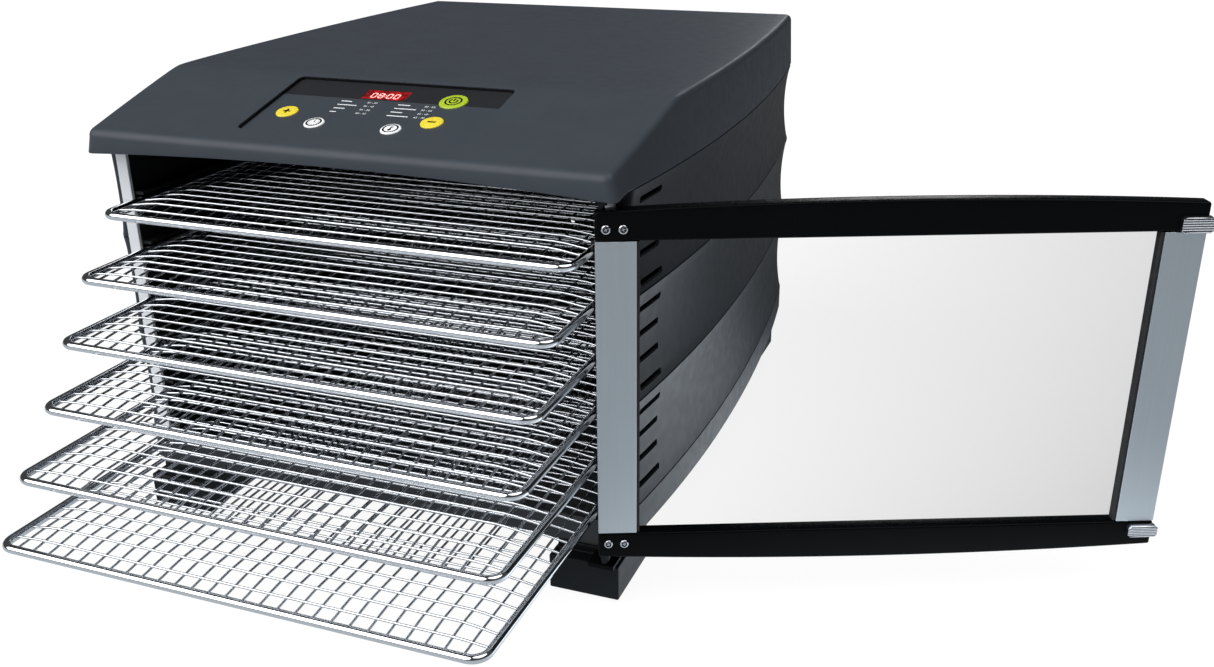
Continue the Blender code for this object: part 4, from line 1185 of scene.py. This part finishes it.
    @staticmethod
    def written(text: str, size: float, x: float, y: float, z: float) -> Shape:
        """Numbers as a flat surface.

        Args:
            text: digits and a dash.
            size: height of a line.
            x: left end.
            y: base line.
            z: height over the panel.

        Returns:
            The numbers' faces.
        """
        curve = bpy.data.curves.new("numbers", "FONT")
        curve.body = text
        curve.size = size
        curve.extrude = 0.00002
        obj = bpy.data.objects.new("numbers", curve)
        bpy.context.scene.collection.objects.link(obj)
        graph = bpy.context.evaluated_depsgraph_get()
        mesh = bpy.data.meshes.new_from_object(obj.evaluated_get(graph))
        points = np.zeros(len(mesh.vertices) * 3)
        mesh.vertices.foreach_get("co", points)
        faces = [tuple(p.vertices) for p in mesh.polygons]
        bpy.data.objects.remove(obj)
        bpy.data.meshes.remove(mesh)
        bpy.data.curves.remove(curve)
        return Shape(points.reshape(-1, 3) + (x, y, z), faces)

    def build(self) -> None:
        """Makes the whole panel."""
        self.build_plate()
        self.build_window()
        self.build_caps()
        self.build_print()


# ---- side walls -------------------------------------------------------------------
@dataclass
class Walls:
    """Two bowed walls: hollow bands between seams, and a column of vents in each."""

    maker: Maker
    front_y: float = 0.0060
    flange: float = 0.0032
    corner: float = 0.0070
    back_corner: float = 0.0120
    rear_inboard: float = 0.0210
    wave: float = 0.0038
    groove: float = 0.0014
    groove_half: float = 0.0006
    front_ease: tuple[float, float] = (0.004, 0.008)
    rear_ease: tuple[float, float] = (0.006, 0.006)
    vents: int = 12
    vent_y: tuple[float, float] = (0.0190, 0.0490)
    vent_h: float = 0.0042
    vent_first: float = 0.0108
    vent_round: float = 0.0013

    def path(self) -> Array:
        """Plan of the right wall from its front flange round to its rear flange."""
        stops = np.unique(np.concatenate([np.linspace(0.014, 0.428, 70),
                                          [PLAN.nose_y - 0.0008, PLAN.nose_y + 0.0008]]))
        pts = PLAN.half_plan(PLAN.wall_half, self.front_y, PLAN.back_y, self.corner,
                             self.back_corner, stops, 8)
        rear = float(PLAN.wall_half(PLAN.back_y)) - self.rear_inboard
        return np.concatenate([[(pts[0, 0] - self.flange, self.front_y)], pts,
                               [(rear, PLAN.back_y)]])

    def rows(self) -> tuple[Array, Array, Array]:
        """Rows of the wall: height, share of the band's hollow, and depth of groove.

        Returns:
            Three arrays; a negative height stands for the lower edge.
        """
        low = PLAN.seams[0]
        z = [-1.0, 0.5 * (PLAN.skirt_z + low)]
        hollow, groove = [0.0, 0.0], [0.0, 0.0]
        half = self.groove_half
        for a, b in zip(PLAN.seams, PLAN.seams[1:]):
            z += [a - half, a, a + half]
            hollow += [0.0, 0.0, 0.0]
            groove += [0.0, self.groove, 0.0]
            t = np.linspace(0.0, 1.0, 19)[1:-1]
            z += (a + half + (b - a - 2 * half) * t).tolist()
            hollow += (np.sin(np.pi * t) ** 0.75).tolist()
            groove += [0.0] * len(t)
        z += [PLAN.seams[3] - 0.0006, PLAN.seams[3] - 0.0003]
        hollow += [0.0, 0.0]
        groove += [0.0, 0.0004]
        return np.array(z), np.array(hollow), np.array(groove)

    def surface(self) -> Shape:
        """Outer skin at path - normal * (hollow + groove), inner skin a sheet further in."""
        path = self.path()
        out = PLAN.outward(path)
        out[0], out[-1] = (0.0, -1.0), (0.0, 1.0)
        walked = np.concatenate([[0.0], np.cumsum(np.linalg.norm(np.diff(path, axis=0),
                                                                 axis=1))])
        plain, ease = self.front_ease
        share = np.clip((walked - plain) / ease, 0.0, 1.0)
        plain, ease = self.rear_ease
        share *= np.clip((walked[-1] - walked - plain) / ease, 0.0, 1.0)
        z, hollow, groove = self.rows()
        depth = self.wave * hollow[:, None] * share + groove[:, None]
        skins = []
        for extra in (0.0, SHEET):
            xy = path - out * (depth + extra)[:, :, None]
            height = np.broadcast_to(z[:, None], depth.shape).copy()
            height[0] = np.where(path[:, 1] < PLAN.nose_y, PLAN.nose_z, PLAN.skirt_z)
            skins.append(np.concatenate([xy, height[:, :, None]], axis=-1))
        outer, inner = skins
        around = np.concatenate([outer, inner[:, ::-1]], axis=1)
        shell = grid(around, wrap_v=True)
        rows, cols = outer.shape[:2]
        ids = np.arange(rows * 2 * cols).reshape(rows, 2 * cols)
        for row in (ids[0], ids[-1]):
            back = row[::-1]
            quads = np.stack([row[:cols - 1], row[1:cols], back[1:cols], back[:cols - 1]], -1)
            shell.faces += [tuple(q) for q in quads.tolist()]
        return shell

    def slots(self) -> Shape:
        """Twelve round-ended prisms across the wall."""
        span = PLAN.seams[3] - PLAN.seams[0]
        pitch = span / (self.vents + 0.21)
        x0, x1 = PLAN.half_max - 0.026, PLAN.half_max + 0.009
        parts = []
        for k in range(self.vents):
            z = PLAN.seams[0] + self.vent_first + pitch * k
            loop = rounded_rectangle(self.vent_y[0], self.vent_y[1], z - self.vent_h / 2,
                                     z + self.vent_h / 2, self.vent_round, 4)
            low = np.column_stack([np.full(len(loop), x0), loop])
            high = np.column_stack([np.full(len(loop), x1), loop])
            parts.append(loft(np.stack([low, high])))
        return merged(*parts)

    def build(self) -> None:
        """Makes both walls."""
        wall, slots = self.surface(), self.slots()
        for side, flip in (("right", False), ("left", True)):
            shape = wall.mirrored() if flip else wall
            cut = slots.mirrored() if flip else slots
            self.maker.piece("wall_" + side, shape, WALL, Body.SHELL.value,
                             ("side_wall_" + side,), angle=36.0, cut=cut)


# ---- chamber, base and rear -------------------------------------------------------
@dataclass
class Inside:
    """Liners, posts, floor, feet and the rear compartment."""

    maker: Maker

    def build(self) -> None:
        """Dresses the CAD nodes that stay and rounds the ones that show their edges."""
        shell = Body.SHELL.value
        for side in ("left", "right"):
            self.maker.kept("side_liner_" + side, INNER)
            self.maker.carried("front_post_" + side, BRIGHT, shell, 0.0005)
            for place in ("front", "rear"):
                self.maker.carried(f"foot_{place}_{side}", FOOT, shell, 0.0012)
                self.maker.carried(f"pad_{place}_{side}", RUBBER, shell, 0.0005)
        self.maker.carried("base_pan", FLOOR_PAN, shell, 0.0006)
        self.maker.carried("hinge_bracket", TRIM, shell, 0.0004)
        for node, finish in (("ceiling_panel", INNER), ("rear_baffle", BAFFLE),
                             ("rear_cover", INNER), ("cable_gland", RUBBER),
                             ("fan_duct", PLATE), ("fan_motor", MOTOR),
                             ("motor_bracket", PLATE), ("heater_element", HEATER),
                             ("thermal_cutout", WHITE), ("control_board", BOARD),
                             ("display_module", INK_AND_SHADE), ("fan_impeller", PLATE)):
            self.maker.kept(node, finish)


# ---- trays ------------------------------------------------------------------------
@dataclass
class Trays:
    """Six wire trays: a rim rod and a crowned mesh of thin wires welded to it."""

    maker: Maker
    rod: float = 0.0026
    corner: float = 0.0090
    wire: float = 0.00074
    along_x: int = 25
    along_y: int = 27
    crown: float = 0.0024
    shoulder: float = 0.024
    wander: float = 0.00014
    over: float = 0.8

    def rim(self, x0: float, x1: float, y0: float, y1: float, z: float) -> Shape:
        """Rim rod round a rectangle with round corners."""
        loop = rounded_rectangle(x0, x1, y0, y1, self.corner, 10)
        corners = loop.reshape(4, 10, 2)
        share = np.linspace(0.0, 1.0, 14)[1:-1, None]
        ends, starts = corners[:, -1], np.roll(corners, -1, axis=0)[:, 0]
        runs = ends[:, None] + (starts - ends)[:, None] * share
        path = np.concatenate([corners, runs], axis=1).reshape(-1, 2)
        points = np.column_stack([path, np.full(len(path), z)])
        return tubes(points[None], self.rod, 14, (0.0, 0.0, 1.0), closed=True)

    def swell(self, across: Array, along: Array, wide: float, deep: float) -> Array:
        """Crown of the mesh: crown * s(a) * s(b), s rising smoothly from each edge.

        Args:
            across: distance from the middle, sideways.
            along: distance from the middle, front to back.
            wide: half width of the mesh.
            deep: half depth of the mesh.

        Returns:
            Height over the rim.
        """
        def rise(distance: Array) -> Array:
            """Smooth step 3 t^2 - 2 t^3 over the shoulder."""
            t = np.clip(distance / self.shoulder, 0.0, 1.0)
            return t * t * (3.0 - 2.0 * t)

        return self.crown * rise(wide - np.abs(across)) * rise(deep - np.abs(along))

    def mesh(self, x0: float, x1: float, y0: float, y1: float, z: float,
             seed: int) -> Shape:
        """Wires both ways between the rim's axes, sideways ones lying on the others."""
        cx, cy, wide, deep = (x0 + x1) / 2, (y0 + y1) / 2, (x1 - x0) / 2, (y1 - y0) / 2
        chance = np.random.default_rng(seed)
        parts = []
        for sideways, count in ((True, self.along_x), (False, self.along_y)):
            place = np.linspace(-1.0, 1.0, count + 2)[1:-1]
            run = np.linspace(-1.0, 1.0, 41)
            a, b = np.meshgrid(place, run, indexing="ij")
            x, y = (b * wide, a * deep) if sideways else (a * wide, b * deep)
            wander = chance.normal(0.0, self.wander, (count, 3))
            bow = wander[:, :1] * (1.0 - run ** 2) + wander[:, 1:2] * np.sin(3.1 * run)
            lift = self.swell(x, y, wide, deep) + 0.7 * np.abs(wander[:, 2:]) * (1 - run ** 2)
            if sideways:
                lift += self.over * self.wire * np.clip((1 - np.abs(b)) * 18, 0, 1)
            x, y = (x, y + bow) if sideways else (x + bow, y)
            paths = np.stack([cx + x, cy + y, z + lift], axis=-1)
            parts.append(tubes(paths, self.wire, 7, (0.0, 0.0, 1.0)))
        return merged(*parts)

    def build(self) -> None:
        """Makes the six trays where their CAD nodes are."""
        origin = self.maker.site.origin
        for k in range(1, 7):
            name = f"tray_{k}"
            low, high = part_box(name)
            low, high = low - origin, high - origin
            r = self.rod
            x0, x1, y0, y1 = low.x + r, high.x - r, low.y + r, high.y - r
            z = low.z + r
            rim = self.rim(x0, x1, y0, y1, z)
            self.maker.piece(name + "_rim", rim, CHROME, name, (name,), angle=60.0)
            self.maker.piece(name + "_mesh", self.mesh(x0, x1, y0, y1, z, 40 + k), WIRE,
                             name, angle=60.0)


# ---- door -------------------------------------------------------------------------
@dataclass
class Door:
    """Framed glass door on the right, held open past its own side of the body."""

    maker: Maker
    open_deg: float = 202.6
    heel: float = 0.0040
    reach: float = 0.3326
    inner: float = 0.0060
    outer: float = 0.0040
    strip_w: float = 0.0230
    strip_back: float = -0.0007
    top_z: float = 0.2359
    top_end: float = 0.0164
    top_arch: float = 0.0042
    low_z: float = 0.0525
    low_end: float = 0.0160
    low_arch: float = 0.0042
    screws: tuple[float, ...] = (0.0020, 0.0115)
    screw_r: float = 0.0027
    screw_in: float = 0.0068
    screw_round: float = 0.0009
    shank: tuple[float, float] = (0.0015, -0.0035)
    ribs: int = 7
    rib_base: float = 0.0022
    rib_depth: float = 0.0013
    catch_w: float = 0.0180
    catch_over: float = 0.0020
    catch_chamfer: float = 0.0018
    top_catch: tuple[float, float] = (-0.0004, 0.0092)
    low_catch: tuple[float, float] = (-0.0092, -0.0012)
    round_r: float = 0.0014
    bead: float = 0.0008
    bead_low: float = 0.0012

    def matrix(self) -> Matrix:
        """Door coordinates (along, towards the chamber, up) to body coordinates."""
        low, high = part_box("hinge_pin_top")
        axis = (low + high) / 2 - self.maker.site.origin
        turn = Matrix.Rotation(math.radians(self.open_deg), 4, "Z")
        flip = Matrix.Diagonal((-1.0, 1.0, 1.0, 1.0))
        return Matrix.Translation((axis.x, axis.y, 0.0)) @ turn @ flip

    def rail(self, sign: float, base: float, end: float, arch: float) -> Shape:
        """Arched rail: a round-cornered section whose height follows a parabola.

        Args:
            sign: 1 for the top rail, -1 for the bottom one.
            base: height of the straight edge by the glass.
            end: height of the section at its ends.
            arch: extra height at the middle.

        Returns:
            The rail in door coordinates.
        """
        u = np.concatenate([[-self.heel, -self.heel + 0.0007],
                            np.linspace(-self.heel + 0.002, self.reach - 0.002, 58),
                            [self.reach - 0.0007, self.reach]])
        pinch = np.ones(len(u))
        pinch[[0, -1]] = 0.0
        mid, half = (self.reach - self.heel) / 2, (self.reach + self.heel) / 2
        tall = end + arch * (1.0 - ((u - mid) / half) ** 2)
        r = self.round_r
        turn = np.radians(np.linspace(0.0, 90.0, 5))
        corner = np.stack([np.cos(turn), np.sin(turn)], axis=-1)
        signs = np.array([(1, -1), (1, 1), (-1, 1), (-1, -1)], float)
        arcs = []
        for (sv, sz), flip in zip(signs, (True, False, True, False)):
            arc = corner * (sv, sz)
            arcs.append(arc[::-1] if flip else arc)
        arcs = np.concatenate(arcs)
        which = np.repeat(np.arange(4), 5)
        sv, sz = signs[which].T
        inset = r * (0.45 + 0.55 * pinch)[:, None]
        shrink = (1.0 - pinch)[:, None] * 0.0007
        face = np.where(sv > 0, self.inner, -self.outer)
        v = face - sv * (inset + shrink) + arcs[:, 0] * inset
        top = np.where(sz > 0, tall[:, None], 0.0)
        z = base + sign * (top - sz * (inset + shrink) + arcs[:, 1] * inset)
        return loft(np.stack([u[:, None] + 0.0 * v, v, z], axis=-1))

    def catch(self, z0: float, z1: float) -> Shape:
        """Bright block on a free corner: level half-round ribs, chamfered at its ends.

        Args:
            z0: lower height.
            z1: upper height.

        Returns:
            The block in door coordinates.
        """
        u1 = self.reach + self.catch_over
        u0 = u1 - self.catch_w
        v0 = self.inner + GAP
        t = np.linspace(0.0, 1.0, 12 * self.ribs + 1)
        rib = np.abs(np.sin(np.pi * self.ribs * t)) ** 0.6
        face = v0 + self.rib_base + self.rib_depth * rib
        z = z0 + (z1 - z0) * t
        v = np.concatenate([face, [v0, v0]])
        z = np.concatenate([z, [z1, z0]])
        cut = self.catch_chamfer
        u = np.array([u0, u0 + cut, u1 - cut, u1])
        trim = cut * np.array([1.0, 0.0, 0.0, 1.0])
        height = np.clip(z[None, :], (z0 + trim)[:, None], (z1 - trim)[:, None])
        return loft(np.stack([u[:, None] + 0.0 * height, v[None, :] + 0.0 * height, height],
                             axis=-1))

    def screw(self, u: float, z: float) -> tuple[Shape, Shape, Shape]:
        """Pan head with a deep socket, a black disc of painted shade on its floor, and a cross
        in it.

        Args:
            u: distance from the hinge's axis.
            z: height.

        Returns:
            The head, the black disc of painted shade on its socket's floor, and the cross.
        """
        r, v = self.screw_r, self.inner
        turn = np.radians(np.linspace(0.0, 90.0, 6))
        soft = self.screw_round
        edge = np.stack([r - soft + soft * np.cos(turn), GAP + soft * np.sin(turn)], axis=-1)
        thin, tip = self.shank
        socket = [(0.66 * r, 0.00125), (0.62 * r, 0.0006), (0.0, 0.0006)]
        profile = np.concatenate([[(0.0, tip), (thin, tip), (thin, GAP), (r, GAP)], edge,
                                  socket])
        at = Matrix.Translation((u, v, z)) @ Matrix.Rotation(-math.pi / 2, 4, "X")
        arm, half = 0.42 * r, 0.07 * r
        cross = [block(-arm, arm, -half, half, 0.00078, 0.00095),
                 block(-half, half, -arm, arm, 0.00078, 0.00095)]
        tilt = at @ Matrix.Rotation(math.radians(21.0 + 900.0 * (u + z)), 4, "Z")
        # Painted shade: a black disc on the socket's floor darkens the recess
        socket_shade = revolved([(0.0, 0.00062), (0.61 * r, 0.00062), (0.61 * r, 0.00076),
                         (0.0, 0.00076)], 32).mapped(at)
        return revolved(profile, 32).mapped(at), socket_shade, merged(*cross).mapped(tilt)

    def build(self) -> None:
        """Makes the door."""
        m, door = self.matrix(), Body.DOOR.value
        rails = (("top", 1.0, self.top_z, self.top_end, self.top_arch, self.top_catch),
                 ("bottom", -1.0, self.low_z, self.low_end, self.low_arch, self.low_catch))
        for word, sign, base, end, arch, (under, over) in rails:
            rail = self.rail(sign, base, end, arch).mapped(m)
            self.maker.piece("rail_" + word, rail, TRIM, door, ("door_rail_" + word,),
                             angle=50.0)
            middle = base + sign * self.screw_in
            for k, u in enumerate(self.screws):
                head, socket_shade, cross = self.screw(u, middle)
                self.maker.piece(f"screw_{word}_{k + 1}", merged(head, cross).mapped(m),
                                 SCREW, door, (f"door_screw_{word}_{k + 1}",))
                # Painted shade piece on each socket's floor
                self.maker.piece(f"socket_{word}_{k + 1}", socket_shade.mapped(m), INK_AND_SHADE, door)
            catch = self.catch(base + under, base + over).mapped(m)
            self.maker.piece("catch_" + word, catch, CATCH, door, ("door_catch_" + word,),
                             angle=40.0)
            self.maker.kept("hinge_pin_" + word, PIN)
        low, high = self.low_z + GAP, self.top_z - GAP
        for word, u0 in (("hinge", -self.heel), ("free", self.reach - self.strip_w)):
            strip = block(u0, u0 + self.strip_w, self.strip_back, self.inner, low, high)
            self.maker.piece("strip_" + word, strip.mapped(m), SATIN, door,
                             ("door_strip_" + word,), edge=0.0005)
        aside = self.bead + 0.0001
        for word, u in (("hinge", -self.heel + self.strip_w + aside),
                        ("free", self.reach - self.strip_w - aside)):
            bead = block(u - self.bead, u + self.bead, self.strip_back,
                         self.inner - self.bead_low, low, high)
            self.maker.piece("gasket_" + word, bead.mapped(m), RUBBER, door, edge=0.0004)
        low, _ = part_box("door_glass")
        self.maker.kept("door_glass", Pane("door_clear", "glass", from_x=low.x))


# ---- studio -----------------------------------------------------------------------
@dataclass
class Studio:
    """Camera, white floor and soft lamps."""

    site: Site
    azimuth: float = 20.98
    elevation: float = 22.06
    roll: float = -0.51
    eye: tuple[float, float, float] = (0.39496, -0.59290, 0.43435)
    focal: float = 1201.02 / 1214.0 * 36.0
    floor_half: float = 14.0
    patch: tuple[float, float, float] = (0.34, 0.17, 0.0)
    patch_reach: tuple[float, float] = (0.08, 0.34)
    patch_light: float = 1.20
    back_reach: tuple[float, float] = (0.25, 0.62)
    back_light: tuple[float, float] = (0.46, 0.04)
    shown_light: float = 0.93
    surround: float = 0.06

    def build_camera(self) -> None:
        """Camera at the fitted place: its axes come from azimuth, elevation and roll."""
        a, e, t = (math.radians(x) for x in (self.azimuth, self.elevation, self.roll))
        back = Vector((math.sin(a) * math.cos(e), -math.cos(a) * math.cos(e), math.sin(e)))
        right = Vector((math.cos(a), math.sin(a), 0.0))
        up = back.cross(right)
        across = math.cos(t) * right + math.sin(t) * up
        over = -math.sin(t) * right + math.cos(t) * up
        data = bpy.data.cameras.new("camera")
        data.lens = self.focal
        data.sensor_width = 36.0
        data.clip_start, data.clip_end = 0.02, 60.0
        cam = bpy.data.objects.new("camera", data)
        bpy.context.scene.collection.objects.link(cam)
        turn = Matrix((across, over, back)).transposed().to_4x4()
        cam.matrix_world = Matrix.Translation(Vector(self.eye) + self.site.origin) @ turn
        bpy.context.scene.camera = cam

    def build_floor(self) -> None:
        """A wide level floor that looks white and lights the machine most by its right side."""
        half = self.floor_half
        shape = block(-half, half, -half, half, -0.002, -0.0001)
        mesh = settled("floor", shape, self.site.origin)
        floor = bpy.data.objects.new("floor", mesh)
        bpy.context.scene.collection.objects.link(floor)
        w = Wiring("floor_white")
        w.set("Base Color", (0.12, 0.12, 0.12))
        w.set("Roughness", 0.9)
        w.set("Specular IOR Level", 0.0)
        seen = w.add("ShaderNodeLightPath").outputs["Is Camera Ray"]
        w.set("Emission Color", w.mixed(seen, (0.85, 0.93, 1.0), (1.0, 1.0, 1.0)))
        away = w.add("ShaderNodeVectorMath", operation="DISTANCE")
        w.join(w.place, away.inputs[0])
        away.inputs[1].default_value = Vector(self.patch) + self.site.origin
        near, far = (self.site.origin.y + y for y in self.back_reach)
        bounce = w.add("ShaderNodeMath", operation="ADD")
        w.join(w.ranged(away.outputs["Value"], *self.patch_reach, self.patch_light, 0.0),
               bounce.inputs[0])
        w.join(w.ranged(w.axis("Y"), near, far, *self.back_light), bounce.inputs[1])
        shown = w.add("ShaderNodeMix", data_type="FLOAT")
        w.join(seen, shown.inputs[0])
        w.join(bounce.outputs[0], shown.inputs[2])
        w.join(self.shown_light, shown.inputs[3])
        w.set("Emission Strength", shown.outputs[0])
        mesh.materials.append(w.material)

    def lamp(self, name: str, towards: tuple, width: float, strength: float) -> None:
        """A far softbox that fills a round patch of the sky.

        Args:
            name: the lamp's name.
            towards: direction from the object to the lamp.
            width: how wide it looks, in degrees.
            strength: light on a surface that faces it, in watts per square metre.
        """
        data = bpy.data.lights.new(name, "SUN")
        data.angle = math.radians(width)
        data.energy = strength
        obj = bpy.data.objects.new(name, data)
        bpy.context.scene.collection.objects.link(obj)
        obj.matrix_world = Vector(towards).to_track_quat("Z", "Y").to_matrix().to_4x4()

    def build_light(self) -> None:
        """Dim even surroundings and three softboxes: front left, overhead and low rear."""
        world = bpy.data.worlds.new("studio")
        world.use_nodes = True
        back = world.node_tree.nodes["Background"]
        back.inputs["Color"].default_value = (0.93, 0.96, 1.0, 1.0)
        back.inputs["Strength"].default_value = self.surround
        bpy.context.scene.world = world
        self.lamp("front_box", (-0.45, -0.62, 0.64), 60.0, 3.1)
        self.lamp("top_box", (0.42, -0.10, 0.90), 50.0, 1.15)
        self.lamp("back_box", (-0.11, 0.96, 0.26), 10.0, 0.10)
        bpy.context.scene.view_settings.view_transform = "Standard"

    def build(self) -> None:
        """Sets the studio up."""
        self.build_camera()
        self.build_floor()
        self.build_light()


def main() -> None:
    """Builds the sub-assemblies in order."""
    logging.basicConfig(level=logging.INFO, format="%(name)s: %(message)s")
    site = Site.found()
    LOG.info("body origin at %s", tuple(round(v, 5) for v in site.origin))
    Studio(site).build()
    maker = Maker(site)
    panel = Panel(maker)
    Hood(maker).build(panel)
    panel.build()
    Walls(maker).build()
    Inside(maker).build()
    Trays(maker).build()
    Door(maker).build()


if __name__ == "__main__":
    main()
